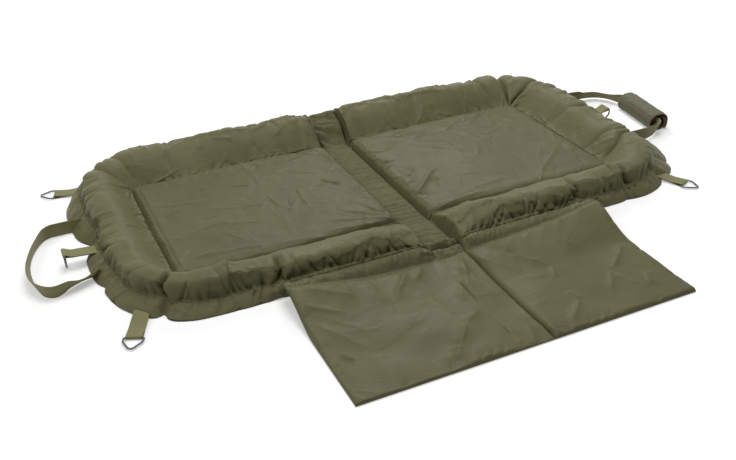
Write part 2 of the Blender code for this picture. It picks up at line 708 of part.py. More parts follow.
def ring_points():
    """A five-sided ring in its own plane: a straight bar at zero, a narrow nose at its far end."""
    half = WEBBING_WIDTH / 2 + RING_SIDE_CLEARANCE + RING_WIRE_RADIUS
    shoulder = RING_LENGTH * RING_SHOULDER_SHARE
    nose = half * RING_NOSE_HALF_SHARE
    corners = [(0.0, -half), (0.0, half), (shoulder, half)]
    corners += [(RING_LENGTH, nose), (RING_LENGTH, -nose), (shoulder, -half)]
    points = []
    for before, here, after in zip(corners[-1:] + corners[:-1], corners, corners[1:] + corners[:1]):
        here = Vector(here)
        back = (Vector(before) - here)
        on = (Vector(after) - here)
        reach = min(RING_BEND_RADIUS, back.length / 2, on.length / 2)
        start = here + back.normalized() * reach
        stop = here + on.normalized() * reach
        middle = (start + stop) / 4 + here / 2
        points += [tuple(start), tuple(middle), tuple(stop)]
    return points


def tab_outline(reach, eye_height, knee):
    """Side view of a folded webbing tab: a root in the rim, a run outwards and an eye."""
    half = TAB_THICKNESS / 2
    root_height = FLAT_EYE_HEIGHT
    eye = Vector((reach, eye_height))
    bend = Vector((knee, root_height))
    run = (eye - bend).normalized()
    side = Vector((-run.y, run.x))
    join = math.asin(half / EYE_OUTER_RADIUS)
    facing = math.atan2(-run.y, -run.x)
    top = [(-TAB_ROOT, root_height + half)]
    low = [(-TAB_ROOT, root_height - half)]
    if knee:
        shift = side * half
        mitre = half * math.tan(math.atan2(run.y, run.x) / 2)
        top.append((knee - mitre, root_height + half))
        low.append((knee + mitre, root_height - half))
        top.append(tuple(eye - run * 2 * EYE_OUTER_RADIUS + shift))
        low.append(tuple(eye - run * 2 * EYE_OUTER_RADIUS - shift))
    start = facing - join
    sweep = 360 * DEG - 2 * join
    rim = []
    for k in range(EYE_SIDES + 1):
        angle = start - sweep * k / EYE_SIDES
        spot = eye + EYE_OUTER_RADIUS * Vector((math.cos(angle), math.sin(angle)))
        rim.append(tuple(spot))
    hole = []
    for k in range(EYE_SIDES):
        angle = 360 * DEG * k / EYE_SIDES
        hole.append((eye.x + EYE_RADIUS * math.cos(angle), eye.y + EYE_RADIUS * math.sin(angle)))
    return [top + rim + low[::-1], hole]


def add_tab(place_name, place, heading, reach, eye_height, knee, rim, half_pivot, hanging):
    """One webbing tab with its ring, and the notch that its root takes in the rim."""
    out = Vector((heading[0], heading[1], 0.0))
    up = Vector((0.0, 0.0, 1.0))
    across = out.cross(up)
    spot = Matrix.Translation((place[0], place[1], 0.0))
    upright = spot @ Matrix((out, up, across)).transposed().to_4x4()
    outlines = tab_outline(reach, eye_height, knee)
    outline_object("tab_" + place_name, outlines, WEBBING_WIDTH, upright, "webbing", half_pivot)
    clear = WEBBING_WIDTH / 2 + GAP
    high = FLAT_EYE_HEIGHT + TAB_THICKNESS / 2 + GAP
    notch = box_mesh((-TAB_ROOT - GAP, -OVERRUN, -clear), (OVERRUN, high, clear))
    bmesh.ops.transform(notch, matrix=upright, verts=notch.verts)
    cut(rim, "notch_" + place_name, notch)
    eye = upright @ Vector((reach, eye_height, 0.0))
    pivot = make_pivot("ring_" + place_name + "_pivot", eye, half_pivot)
    if hanging:
        turn = Matrix((-up, across, -out)).transposed().to_4x4()
    else:
        turn = Matrix((out, across, -up)).transposed().to_4x4()
    wire_object("ring_" + place_name, ring_points(), RING_WIRE_RADIUS, 2, Matrix.Translation(eye) @ turn,
                "ring_metal", pivot)


def add_tabs(suffix, side, end_tab_y, rim, half_pivot):
    for word, front, place_angle, heading_angle in (
            ("front_" + suffix, -1, FRONT_TAB_PLACE, FRONT_TAB_HEADING),
            ("back_" + suffix, 1, BACK_TAB_PLACE, BACK_TAB_HEADING)):
        radius = SEAM_CORNER_RADIUS + RIM_START + float(rim_depths(np.array(place_angle)))
        place = (side * (SEAM_CENTRE_X + radius * math.cos(place_angle)),
                 front * (SEAM_CENTRE_Y + radius * math.sin(place_angle)))
        heading = (side * math.cos(heading_angle), front * math.sin(heading_angle))
        add_tab(word, place, heading, CORNER_TAB_REACH, FLAT_EYE_HEIGHT, 0.0, rim, half_pivot, False)
    add_tab("end_" + suffix, (side * RIM_END_X, end_tab_y), (side, 0.0), END_TAB_REACH, HANGING_EYE_HEIGHT,
            END_TAB_KNEE, rim, half_pivot, True)


def add_half(suffix, side, end_tab_y):
    """Everything that folds up with one end of the mat."""
    half = make_pivot("fold_" + suffix + "_pivot", (side * CREASE_X, 0.0, CREASE_Z))
    add_base_sheet("base_sheet_" + suffix, side, half)
    add_panel(suffix, side, half)
    add_bolster_cover("bolster_cover_" + suffix, side, half)
    cores = ["bolster_core_" + word + "_" + suffix for word in ("back", "end", "front")]
    add_bolster_cores(cores, side, half)
    rim = add_rim("rim_" + suffix, side, half)
    add_tabs(suffix, side, end_tab_y, rim, half)
    flap = make_pivot("flap_" + suffix + "_pivot", (side * CREASE_X, FLAP_HINGE_Y, FLAP_HINGE_Z), half)
    add_flap_half(suffix, side, flap)
    spans = sorted((side * HALF_START_X, side * FLAP_HALF_LENGTH))
    add_hinge_cloth("flap_hinge_" + suffix, spans[0], spans[1], half)
    return half


def add_hinge_cloth(name, low_x, high_x, pivot):
    """The strip of cloth that bends between the mat's front edge and the flap."""
    low = (low_x, FLAP_HINGE_Y - FLAP_SETBACK + GAP, HINGE_CLOTH_LOW)
    high = (high_x, FLAP_HINGE_Y + CREASE_CLEARANCE - GAP, HINGE_CLOTH_LOW + HINGE_CLOTH)
    box(name, low, high, "mat_cloth", pivot)


def add_spine():
    """The flat strip between the two creases, which stays on the ground when the mat folds."""
    base_x = CREASE_X - CREASE_CLEARANCE
    strip_x = CREASE_X - PAD_SETBACK
    tongue_y = FLAP_HINGE_Y + CREASE_CLEARANCE
    box("spine_base", (-base_x, tongue_y, 0.0), (base_x, SIDE_EDGE_Y, BASE_CLOTH), "base_cloth", None)
    seam_y = PANEL_HALF_WIDTH + BOLSTER_WIDTH
    box("spine_top", (-strip_x, -seam_y, PAD_LOW), (strip_x, seam_y, PAD_LOW + TOP_CLOTH), "mat_cloth", None)
    rim_low = seam_y + GAP
    rim_high = PANEL_HALF_WIDTH + RIM_START + RIM_DEPTH_SIDE
    for word, front in (("front", -1), ("back", 1)):
        spans = sorted((front * rim_low, front * rim_high))
        box("spine_edge_" + word, (-strip_x, spans[0], PAD_LOW), (strip_x, spans[1], SPINE_EDGE_HEIGHT),
            "mat_cloth", None)
    flap = make_pivot("flap_middle_pivot", (0.0, FLAP_HINGE_Y, FLAP_HINGE_Z))
    back_y = FLAP_HINGE_Y - FLAP_SETBACK
    high = (strip_x, back_y, FLAP_STRIP_THICKNESS)
    box("flap_strip", (-strip_x, FLAP_FRONT_Y, 0.0), high, "mat_cloth", flap)
    add_hinge_cloth("flap_hinge_middle", -strip_x, strip_x, None)


def main():
    add_spine()
    left = add_half("left", -1, LEFT_END_TAB_Y)
    right = add_half("right", 1, RIGHT_END_TAB_Y)
    handle = add_handles(left, right)
    add_grip(handle)


clear_scene()
PARTS = make_collection("unhooking_mat")
CUTTERS = make_collection("cutters")
SHADES = {name: make_material(name) for name in MATERIALS}
main()
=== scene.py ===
"""Looks of a folding fish mat: quilted pads, stuffed bolsters, gathered rims, a kneeling flap,
webbing handles, a padded grip, tabs and wire rings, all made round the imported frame.

Metres, +Z up, +X to the right end, +Y to the back. The origin is under the fold's middle.
"""

import json
import math

import bmesh
import bpy
import numpy as np
from mathutils import Matrix, Vector


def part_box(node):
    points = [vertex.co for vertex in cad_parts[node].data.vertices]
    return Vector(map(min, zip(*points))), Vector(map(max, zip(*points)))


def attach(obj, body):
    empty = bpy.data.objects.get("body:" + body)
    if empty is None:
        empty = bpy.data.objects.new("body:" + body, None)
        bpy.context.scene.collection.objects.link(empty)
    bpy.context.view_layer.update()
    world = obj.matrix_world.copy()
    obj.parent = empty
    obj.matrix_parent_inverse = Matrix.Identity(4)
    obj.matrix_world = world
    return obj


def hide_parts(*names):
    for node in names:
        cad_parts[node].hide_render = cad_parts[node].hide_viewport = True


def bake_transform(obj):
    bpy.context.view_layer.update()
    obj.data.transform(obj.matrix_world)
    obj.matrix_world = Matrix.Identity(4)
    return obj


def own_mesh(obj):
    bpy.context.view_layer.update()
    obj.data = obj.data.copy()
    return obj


bl_info = {
    "name": "Unhooking Mat",
    "version": (1, 0, 0),
    "blender": (4, 5, 0),
    "location": "View3D > Sidebar > Mat",
    "description": "Cloth, padding, webbing and rings of a folding fish mat",
    "category": "Add Mesh",
}

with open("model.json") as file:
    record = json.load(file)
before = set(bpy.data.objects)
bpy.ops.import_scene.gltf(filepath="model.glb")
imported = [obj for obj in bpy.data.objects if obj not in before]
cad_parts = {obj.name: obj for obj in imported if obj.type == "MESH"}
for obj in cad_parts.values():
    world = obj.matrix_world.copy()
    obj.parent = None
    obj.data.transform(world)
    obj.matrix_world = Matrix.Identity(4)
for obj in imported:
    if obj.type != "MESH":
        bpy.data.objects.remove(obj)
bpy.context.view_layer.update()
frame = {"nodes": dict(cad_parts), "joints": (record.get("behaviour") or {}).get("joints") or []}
JOINTS = {joint["name"]: joint for joint in frame["joints"]}

MM = 0.001
DEG = math.pi / 180
SIDES = (("left", -1), ("right", 1))

# Places read from the frame
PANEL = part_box("panel_cover_right")
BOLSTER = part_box("bolster_cover_right")
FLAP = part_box("flap_top_right")
CREASE_X = JOINTS["fold_right"]["pos_m"][0]
CREASE_Z = JOINTS["fold_right"]["pos_m"][2]
CREASE_FLOOR = CREASE_Z - 0.1 * MM
SEAM_RADIUS = 20 * MM
CORNER_X = PANEL[1].x - SEAM_RADIUS
CORNER_Y = PANEL[1].y - SEAM_RADIUS
PAD_LOW = PANEL[0].z
WIDTH = BOLSTER[1].y - PANEL[1].y
CREST = BOLSTER[1].z
UP = np.array((0.0, 0.0, 1.0))

# First seeds of the noise
SEEDS = {
    "bolster_left": 11, "bolster_right": 29, "pad_left": 13, "pad_right": 31, "rim_left": 17, "rim_right": 37,
}


def linear(hex_colour):
    """A colour written as sRGB hex, as the linear values that Blender mixes."""
    channels = [int(hex_colour[i:i + 2], 16) / 255 for i in (1, 3, 5)]
    return tuple(c / 12.92 if c <= 0.04045 else ((c + 0.055) / 1.055) ** 2.4 for c in channels)


def length_property(name, text, millimetres):
    """A length in metres whose default is given in millimetres."""
    return bpy.props.FloatProperty(name=name, description=text, default=millimetres * MM,
                                   unit="LENGTH", precision=4)


def colour_property(name, text, hex_colour):
    """A colour whose default is given as sRGB hex."""
    return bpy.props.FloatVectorProperty(name=name, description=text, default=linear(hex_colour),
                                         subtype="COLOR", min=0.0, max=1.0)


class MatSizes(bpy.types.PropertyGroup):
    """Sizes of the cloth forms that the frame leaves open."""

    inner_seam: length_property("Inner seam", "Height of the seam between a pad and its bolster", 15)
    pad_round: length_property("Pad edge", "How far a pad's edge is rounded at its seams", 20)
    fold_round: length_property("Fold edge", "How far a pad's edge is rounded at the fold", 17)
    bolster_end: length_property("Bolster end", "Length over which a bolster closes at the fold", 11)
    taper_front: length_property("Front taper", "Length over which a front bolster thins to the fold", 92)
    taper_back: length_property("Back taper", "Length over which a back bolster thins to the fold", 40)
    overhang: length_property("Overhang", "How far a bolster's outer face leans over its seam", 5)
    flap_thickness: length_property("Flap thickness", "Thickness of the flap's padded boards", 9)
    flap_crease: length_property("Flap crease", "Thickness of the flap where it folds", 4.6)
    webbing_width: length_property("Webbing width", "Width of the straps and tabs", 25)
    webbing_thickness: length_property("Webbing thickness", "Thickness of the straps", 2.2)
    stitch: length_property("Stitch", "Length of one stitch and its gap", 7.5)
    thread: length_property("Thread", "Thickness of the sewing thread", 1.2)


class MatColours(bpy.types.PropertyGroup):
    """Colours of the mat's materials."""

    nylon: colour_property("Nylon", "Coated cloth of the mat", "#676547")
    underside: colour_property("Underside", "Coarse coated cloth beneath", "#3d3e31")
    webbing: colour_property("Webbing", "Straps and tabs", "#8a8658")
    grip: colour_property("Grip", "Cloth of the padded grip", "#56583c")
    binding: colour_property("Binding", "Tape round the grip's cloth edges", "#6a5b3c")
    tape: colour_property("Tape", "Hook and loop tape and lining", "#1b1c19")
    wire: colour_property("Wire", "Plated wire of the rings", "#55565a")
    thread: colour_property("Thread", "Sewing thread", "#2c2b1d")


def sizes():
    return bpy.context.scene.mat_sizes


def colours():
    return bpy.context.scene.mat_colours


# Numbers on grids

def smooth(t):
    """Eases from 0 to 1 with level ends: 3t squared less 2t cubed."""
    t = np.clip(t, 0.0, 1.0)
    return t * t * (3 - 2 * t)


def quarter_round(t):
    """A quarter circle that rises steeply from 0 and levels out at 1."""
    return np.sqrt(np.clip(1 - (1 - np.clip(t, 0.0, 1.0)) ** 2, 0.0, 1.0))


def lattice(ix, iy, seed):
    """A fixed number from 0 to 1 for each pair of whole numbers: the tail of a large sine."""
    value = np.sin(ix * 127.1 + iy * 311.7 + seed * 74.7) * 43758.5453
    return value - np.floor(value)


def noise(x, y, seed):
    """Value noise from -1 to 1: lattice numbers mixed smoothly across each cell."""
    ix, iy = np.floor(x), np.floor(y)
    fx, fy = smooth(x - ix), smooth(y - iy)
    near = lattice(ix, iy, seed) * (1 - fx) + lattice(ix + 1, iy, seed) * fx
    far = lattice(ix, iy + 1, seed) * (1 - fx) + lattice(ix + 1, iy + 1, seed) * fx
    return 2 * (near * (1 - fy) + far * fy) - 1


def gathers(run, spacing, seed):
    """Rounded ridges with sharp valleys, 0 to 1: a rectified sine whose phase and strength wander."""
    phase = run / spacing + 0.8 * noise(run / spacing / 3, run * 0, seed)
    strength = 0.6 + 0.4 * noise(run / spacing / 2, run * 0 + 7.3, seed + 5)
    return np.abs(np.sin(math.pi * phase)) ** 0.7 * strength


def ruffles(run, spacing, height, seed):
    """Gathers with their spacing and height in millimetres."""
    return height * MM * gathers(run, spacing * MM, seed)


def swells(x, y, wide, long, height, seed):
    """Value noise with the width and length of its cells and its height in millimetres."""
    return height * MM * noise(x / (wide * MM), y / (long * MM), seed)


def fading(distance, reach):
    """Falls off from 1 as e to the power of minus distance by reach, with the reach in millimetres."""
    return np.exp(-distance / (reach * MM))


def mound(distance, width):
    """A bell from 1: e to the power of minus the square of distance by width, in millimetres."""
    return np.exp(-(distance / (width * MM)) ** 2)


def margin(distance, length):
    """A quarter round that rises from a seam over a length in millimetres."""
    return quarter_round(distance / (length * MM))


def unit(vectors):
    """Vectors of the same directions with length 1."""
    return vectors / np.linalg.norm(vectors, axis=-1, keepdims=True)


def refine(points, axis, closed=False):
    """Twice as fine along an axis: each new point is on the cubic through its four neighbours."""
    p = np.moveaxis(points, axis, 0)
    if closed:
        padded = np.concatenate((p[-1:], p, p[:2]))
    else:
        padded = np.concatenate((2 * p[:1] - p[1:2], p, 2 * p[-1:] - p[-2:-1]))
    middle = (9 * (padded[1:-2] + padded[2:-1]) - padded[:-3] - padded[3:]) / 16
    made = np.empty((len(p) + len(middle),) + p.shape[1:])
    made[0::2] = p
    made[1::2] = middle
    return np.moveaxis(made, 0, axis)


def distances(points):
    """Distance travelled along a row of points."""
    steps = np.linalg.norm(np.diff(points, axis=0), axis=1)
    return np.concatenate(((0.0,), np.cumsum(steps)))


def crease_near(x, y, start, stop, width):
    """A sharp ridge along a line between two points, 1 on it, that fades with distance and at its ends."""
    start = np.array(start)
    reach = np.array(stop) - start
    length = np.linalg.norm(reach)
    along = ((x - start[0]) * reach[0] + (y - start[1]) * reach[1]) / length
    off = np.abs((x - start[0]) * reach[1] - (y - start[1]) * reach[0]) / length
    share = along / length
    fade = smooth(share / 0.25) * smooth((1 - share) / 0.35)
    return np.exp(-off / width) * fade


def fixed_draws(k, seed):
    """Four fixed numbers from 0 to 1 for a whole number."""
    return (float(lattice(np.float64(k), np.float64(j), seed)) for j in range(4))


def stray_creases(u, v, seed, count, span, length, height, width, lean):
    """Short ridges and valleys strewn over a surface: each has its own place, lean, length and height.

    The count is spread over a span of u in metres. Length, height and width are millimetres, the
    lean degrees.
    """
    length, height, width = length * MM, height * MM, width * MM
    total = np.zeros(np.broadcast(u, v).shape)
    for k in range(count):
        one, two, three, four = fixed_draws(k, seed)
        start = np.array((np.min(u) + (k + one) * span / count, np.min(v) + two * np.ptp(v)))
        turn = (2 * three - 1) * lean * DEG
        reach = length * (0.5 + four) * np.array((math.sin(turn), math.cos(turn)))
        near = np.flatnonzero(np.abs(u[:, 0] - start[0]) < 1.6 * length + 5 * width)
        if len(near):
            rows = slice(near[0], near[-1] + 1)
            ridge = crease_near(u[rows], v[rows] if len(v) > 1 else v, start - reach / 2, start + reach / 2,
                                width * (0.6 + 0.8 * two))
            total[rows] += ridge * height * (0.5 + one) * (1 if four > 0.35 else -1)
    return total


def wrinkles(x, y, table, share):
    """Sharp ridges from a table of start, end, height and width in millimetres, at a share of the height."""
    return sum(share * height * MM * crease_near(x, y, np.array(start) * MM, np.array(stop) * MM, width * MM)
               for start, stop, height, width in table)


def seam_ticks(run, from_seam, seed, spacing, reach, depth, width):
    """Sharp valleys that run up from a seam, each with its own place, length, depth and lean.

    Spacing, reach, depth and width are millimetres.
    """
    spacing, reach, depth, width = spacing * MM, reach * MM, depth * MM, width * MM
    total = np.zeros(np.broadcast(run, from_seam).shape)
    for k in range(int(float(np.max(run)) / spacing)):
        one, two, three, four = fixed_draws(k, seed)
        centre, long = (k + one) * spacing, reach * (0.3 + 1.2 * two * two)
        near = np.flatnonzero(np.abs(run[:, 0] - centre) < 5 * width + 0.5 * long)
        if len(near):
            rows = slice(near[0], near[-1] + 1)
            away = from_seam[rows] if len(from_seam) > 1 else from_seam
            off = run[rows] - centre - (three - 0.5) * 0.9 * away
            share = np.clip(away / long, 0, 1)
            valley = np.exp(-np.abs(off) / (width * (0.6 + share))) * (1 - share) ** 0.8
            total[rows] -= depth * (0.4 + four) * valley
    return total


# Meshes

def finish_mesh(name, vertices, faces, face_uv, material, sharp=None):
    """A piece from points, faces and a material's name, with its faces turned out and a UV map in metres."""
    mesh = bpy.data.meshes.new(name)
    mesh.from_pydata(vertices.tolist(), [], faces)
    layer = mesh.uv_layers.new(name="cloth")
    layer.data.foreach_set("uv", np.asarray(face_uv, np.float32).ravel())
    builder = bmesh.new()
    builder.from_mesh(mesh)
    bmesh.ops.recalc_face_normals(builder, faces=builder.faces[:])
    builder.to_mesh(mesh)
    builder.free()
    mesh.materials.append(material_named(material))
    mesh.shade_smooth()
    if sharp is not None:
        mesh.set_sharp_from_angle(angle=sharp)
    piece = bpy.data.objects.new(name, mesh)
    bpy.context.scene.collection.objects.link(piece)
    return piece


def grid_faces(rows, columns, closed):
    """Four-sided faces between neighbouring rows and columns, as vertex and as corner indices."""
    i = np.arange(rows - 1)[:, None]
    j = np.arange(columns if closed else columns - 1)[None, :]
    indices = []
    for count, onward in ((columns, (j + 1) % columns), (columns + 1, j + 1)):
        square = (i * count + j, i * count + onward, (i + 1) * count + onward, (i + 1) * count + j)
        indices.append(np.stack(np.broadcast_arrays(*square), axis=-1).reshape(-1, 4))
    return indices


def grid_piece(name, grid, along, material, caps=True, sharp=None):
    """A piece from a grid of points: rows follow a path and columns go round its closed section."""
    rows, columns = grid.shape[:2]
    faces, corners = grid_faces(rows, columns, True)
    section = grid[rows // 2]
    across = distances(np.concatenate((section, section[:1])))
    spread = np.stack(np.broadcast_arrays(across[None, :], along[:, None]), axis=-1).reshape(-1, 2)
    face_uv = [spread[corners.ravel()]]
    faces = faces.tolist()
    if caps:
        for row in (0, rows - 1):
            faces.append([row * columns + j for j in range(columns)])
            face_uv.append(np.stack((across[:columns], np.full(columns, along[row])), axis=1))
    return finish_mesh(name, grid.reshape(-1, 3), faces, np.concatenate(face_uv), material, sharp)


def slab_piece(name, top, low, material):
    """A padded slab: a grid for its top, a wall round it and a flat underside."""
    rows, columns = top.shape[:2]
    faces, _ = grid_faces(rows, columns, False)
    order = np.arange(rows * columns).reshape(rows, columns)
    rim = np.concatenate((order[0, :-1], order[:-1, -1], order[-1, :0:-1], order[:0:-1, 0]))
    vertices = top.reshape(-1, 3)
    foot = vertices[rim].copy()
    foot[:, 2] = low
    feet = rows * columns + np.arange(len(rim))
    walls = np.stack((rim, np.roll(rim, -1), np.roll(feet, -1), feet), axis=1)
    vertices = np.concatenate((vertices, foot))
    flat = np.concatenate((faces.ravel(), walls.ravel(), feet))
    faces = faces.tolist() + walls.tolist() + [feet.tolist()]
    return finish_mesh(name, vertices, faces, vertices[flat][:, :2], material)


def dress(piece, nodes, body):
    """Hide the frame's nodes that a piece stands for, and attach it to the body it rides, if there is one."""
    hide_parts(*nodes)
    if body:
        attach(piece, body)
    return piece


# The cloth that settles: its weight, stiffness and drag, its pressure, how much too large it is, the frames
# that it gets and how far a point may end from its start
CLOTH_SETTINGS = {
    "quality": 6, "mass": 0.2, "tension_stiffness": 18, "compression_stiffness": 18, "shear_stiffness": 6,
    "bending_stiffness": 0.4, "air_damping": 3, "vertex_group_mass": "seams", "use_pressure": True,
    "uniform_pressure_force": 2.2, "shrink_min": -0.03,
}
CLOTH_FRAMES = 24
MOST_MOVE = 3.2 * MM


def hang_cloth(grid, closed, free):
    """A grid as a cloth that is held where its mask is 0."""
    faces, _ = grid_faces(*grid.shape[:2], closed)
    mesh = bpy.data.meshes.new("settling")
    mesh.from_pydata(grid.reshape(-1, 3).tolist(), [], faces.tolist())
    item = bpy.data.objects.new("settling", mesh)
    bpy.context.scene.collection.objects.link(item)
    held = item.vertex_groups.new(name=CLOTH_SETTINGS["vertex_group_mass"])
    held.add(np.flatnonzero(free.ravel() <= 0).tolist(), 1.0, "REPLACE")
    cloth = item.modifiers.new("cloth", "CLOTH")
    for name, value in CLOTH_SETTINGS.items():
        setattr(cloth.settings, name, value)
    cloth.settings.effector_weights.gravity = 0.0
    cloth.collision_settings.use_collision = False
    cloth.point_cache.frame_start = 1
    cloth.point_cache.frame_end = CLOTH_FRAMES
    return item


def simulate(shapes):
    """Let cloth settle under air pressure with its seams held, a little too large for them.

    Each shape is a grid, whether it is closed across, and a mask that is 0 where it is held.
    Gives each grid with its points moved, by no more than the most that they may.
    """
    scene = bpy.context.scene
    made = [hang_cloth(*shape) for shape in shapes]
    for step in range(1, CLOTH_FRAMES + 1):
        scene.frame_set(step)
    graph = bpy.context.evaluated_depsgraph_get()
    settled = []
    for (grid, _, free), item in zip(shapes, made):
        mesh = item.evaluated_get(graph).data
        spots = np.empty(len(mesh.vertices) * 3)
        mesh.vertices.foreach_get("co", spots)
        move = spots.reshape(grid.shape) - grid
        size = np.maximum(np.linalg.norm(move, axis=2, keepdims=True), 1e-9)
        move = move * (MOST_MOVE * np.tanh(size / MOST_MOVE) / size)
        settled.append(grid + move * np.clip(free, 0, 1)[..., None])
        old = item.data
        bpy.data.objects.remove(item)
        bpy.data.meshes.remove(old)
    scene.frame_set(1)
    return settled


# Materials

def add_node(tree, kind, inputs=None, **settings):
    """Add a node, set it up, and give each named input a value or a link."""
    node = tree.nodes.new(kind)
    for name, value in settings.items():
        setattr(node, name, value)
    for name, value in (inputs or {}).items():
        if isinstance(value, bpy.types.NodeSocket):
            tree.links.new(value, node.inputs[name])
        else:
            node.inputs[name].default_value = value
    return node


def start_material(name, roughness, metallic=0.0):
    """A material with its node tree, its shader and the coordinates that its textures are placed by."""
    material = bpy.data.materials.new(name)
    material.use_nodes = True
    tree = material.node_tree
    tree.nodes.clear()
    shader = add_node(tree, "ShaderNodeBsdfPrincipled", {"Roughness": roughness, "Metallic": metallic})
    add_node(tree, "ShaderNodeOutputMaterial", {"Surface": shader.outputs[0]})
    place = add_node(tree, "ShaderNodeTexCoord").outputs
    return material, tree, shader, place


def shade(colour, share):
    """A colour made lighter or darker, as the four numbers of an opaque colour."""
    return (*(min(1.0, channel * share) for channel in colour[:3]), 1.0)


def coated_nylon(name, colour, roughness=0.42, crumple=0.45, weave_mm=1.3):
    """Woven nylon with a thin coating: a soft broad sheen, fine crumples and a faint plain weave.

    The real thread spacing of 0.3 mm is too fine to show, so the weave is drawn four times as coarse.
    """
    material, tree, shader, place = start_material(name, roughness)
    # Broad patches where the coating has faded or darkened
    patches = add_node(tree, "ShaderNodeTexNoise", {"Vector": place["Object"], "Scale": 9.0, "Detail": 4.0,
                                                    "Roughness": 0.6})
    tint = add_node(tree, "ShaderNodeMapRange", {"Value": patches.outputs[0], "From Min": 0.3,
                                                 "From Max": 0.7})
    base = add_node(tree, "ShaderNodeMix", {0: tint.outputs[0], 6: shade(colour, 0.9),
                                            7: shade(colour, 1.08)},
                    data_type="RGBA")
    # Small crumples that catch the light, long in one direction as pressed cloth has them
    bend = add_node(tree, "ShaderNodeMapping", {"Vector": place["UV"], "Rotation": (0, 0, 0.7),
                                                "Scale": (1.0, 0.45, 1.0)})
    crumples = add_node(tree, "ShaderNodeTexNoise", {"Vector": bend.outputs[0], "Scale": 70.0, "Detail": 5.0,
                                                     "Roughness": 0.62, "Distortion": 1.4})
    # Plain weave: two crossed sets of threads
    threads = []
    for direction in ("X", "Y"):
        wave = add_node(tree, "ShaderNodeTexWave", {"Vector": place["UV"],
                                                    "Scale": 2 * math.pi / (20 * weave_mm * MM)},
                        bands_direction=direction)
        threads.append(wave.outputs[1])
    weave = add_node(tree, "ShaderNodeMath", {0: threads[0], 1: threads[1]}, operation="MULTIPLY")
    dark = add_node(tree, "ShaderNodeMapRange", {"Value": weave.outputs[0], "From Max": 0.6, "To Min": 0.93,
                                                 "To Max": 1.0})
    toned = add_node(tree, "ShaderNodeMix", {0: 1.0, 6: base.outputs[2], 7: dark.outputs[0]},
                     data_type="RGBA", blend_type="MULTIPLY")
    tree.links.new(toned.outputs[2], shader.inputs["Base Color"])
    gloss = add_node(tree, "ShaderNodeMapRange", {"Value": crumples.outputs[0], "From Min": 0.3,
                                                  "From Max": 0.7, "To Min": roughness - 0.06,
                                                  "To Max": roughness + 0.08})
    tree.links.new(gloss.outputs[0], shader.inputs["Roughness"])
    rough = add_node(tree, "ShaderNodeBump", {"Height": crumples.outputs[0], "Distance": 2.4 * MM,
                                              "Strength": crumple})
    fine = add_node(tree, "ShaderNodeBump", {"Height": weave.outputs[0], "Distance": 0.12 * MM,
                                             "Strength": 0.35, "Normal": rough.outputs[0]})
    tree.links.new(fine.outputs[0], shader.inputs["Normal"])
    shader.inputs["Specular IOR Level"].default_value = 0.1
    return material


def ribbed_webbing(name, colour):
    """Woven polypropylene strap: ribs across it every 1.6 mm, matt, a little fuzzy and uneven in tone."""
    material, tree, shader, place = start_material(name, 0.78)
    ribs = add_node(tree, "ShaderNodeTexWave", {"Vector": place["UV"], "Scale": 2 * math.pi / (20 * 1.6 * MM),
                                                "Distortion": 0.6, "Detail Scale": 2.0}, bands_direction="Y")
    yarn = add_node(tree, "ShaderNodeTexWave", {"Vector": place["UV"],
                                                "Scale": 2 * math.pi / (20 * 2.4 * MM)},
                    bands_direction="X")
    both = add_node(tree, "ShaderNodeMath", {0: ribs.outputs[1], 1: yarn.outputs[1]}, operation="MULTIPLY")
    fuzz = add_node(tree, "ShaderNodeTexNoise", {"Vector": place["Object"], "Scale": 420.0, "Detail": 3.0})
    tone = add_node(tree, "ShaderNodeMath", {0: both.outputs[0], 1: fuzz.outputs[0]}, operation="ADD")
    share = add_node(tree, "ShaderNodeMapRange", {"Value": tone.outputs[0], "From Min": 0.2, "From Max": 1.3})
    base = add_node(tree, "ShaderNodeMix", {0: share.outputs[0], 6: shade(colour, 0.62),
                                            7: shade(colour, 1.15)},
                    data_type="RGBA")
    tree.links.new(base.outputs[2], shader.inputs["Base Color"])
    relief = add_node(tree, "ShaderNodeBump", {"Height": tone.outputs[0], "Distance": 0.4 * MM,
                                               "Strength": 0.8})
    tree.links.new(relief.outputs[0], shader.inputs["Normal"])
    shader.inputs["Sheen Weight"].default_value = 0.2
    return material


def coarse_cloth(name, colour, roughness, pitch_mm, depth_mm):
    """Coarse woven cloth whose threads show: a chequer of crossed threads, matt between them."""
    material, tree, shader, place = start_material(name, roughness)
    threads = []
    for direction in ("X", "Y"):
        wave = add_node(tree, "ShaderNodeTexWave", {"Vector": place["Object"],
                                                    "Scale": 2 * math.pi / (20 * pitch_mm * MM),
                                                    "Distortion": 0.8}, bands_direction=direction)
        threads.append(wave.outputs[1])
    weave = add_node(tree, "ShaderNodeMath", {0: threads[0], 1: threads[1]}, operation="ADD")
    specks = add_node(tree, "ShaderNodeTexNoise", {"Vector": place["Object"], "Scale": 60.0, "Detail": 4.0})
    tone = add_node(tree, "ShaderNodeMath", {0: weave.outputs[0], 1: specks.outputs[0]}, operation="ADD")
    share = add_node(tree, "ShaderNodeMapRange", {"Value": tone.outputs[0], "From Min": 0.4, "From Max": 2.2})
    base = add_node(tree, "ShaderNodeMix", {0: share.outputs[0], 6: shade(colour, 0.7),
                                            7: shade(colour, 1.2)},
                    data_type="RGBA")
    tree.links.new(base.outputs[2], shader.inputs["Base Color"])
    relief = add_node(tree, "ShaderNodeBump", {"Height": tone.outputs[0], "Distance": depth_mm * MM,
                                               "Strength": 0.6})
    tree.links.new(relief.outputs[0], shader.inputs["Normal"])
    return material


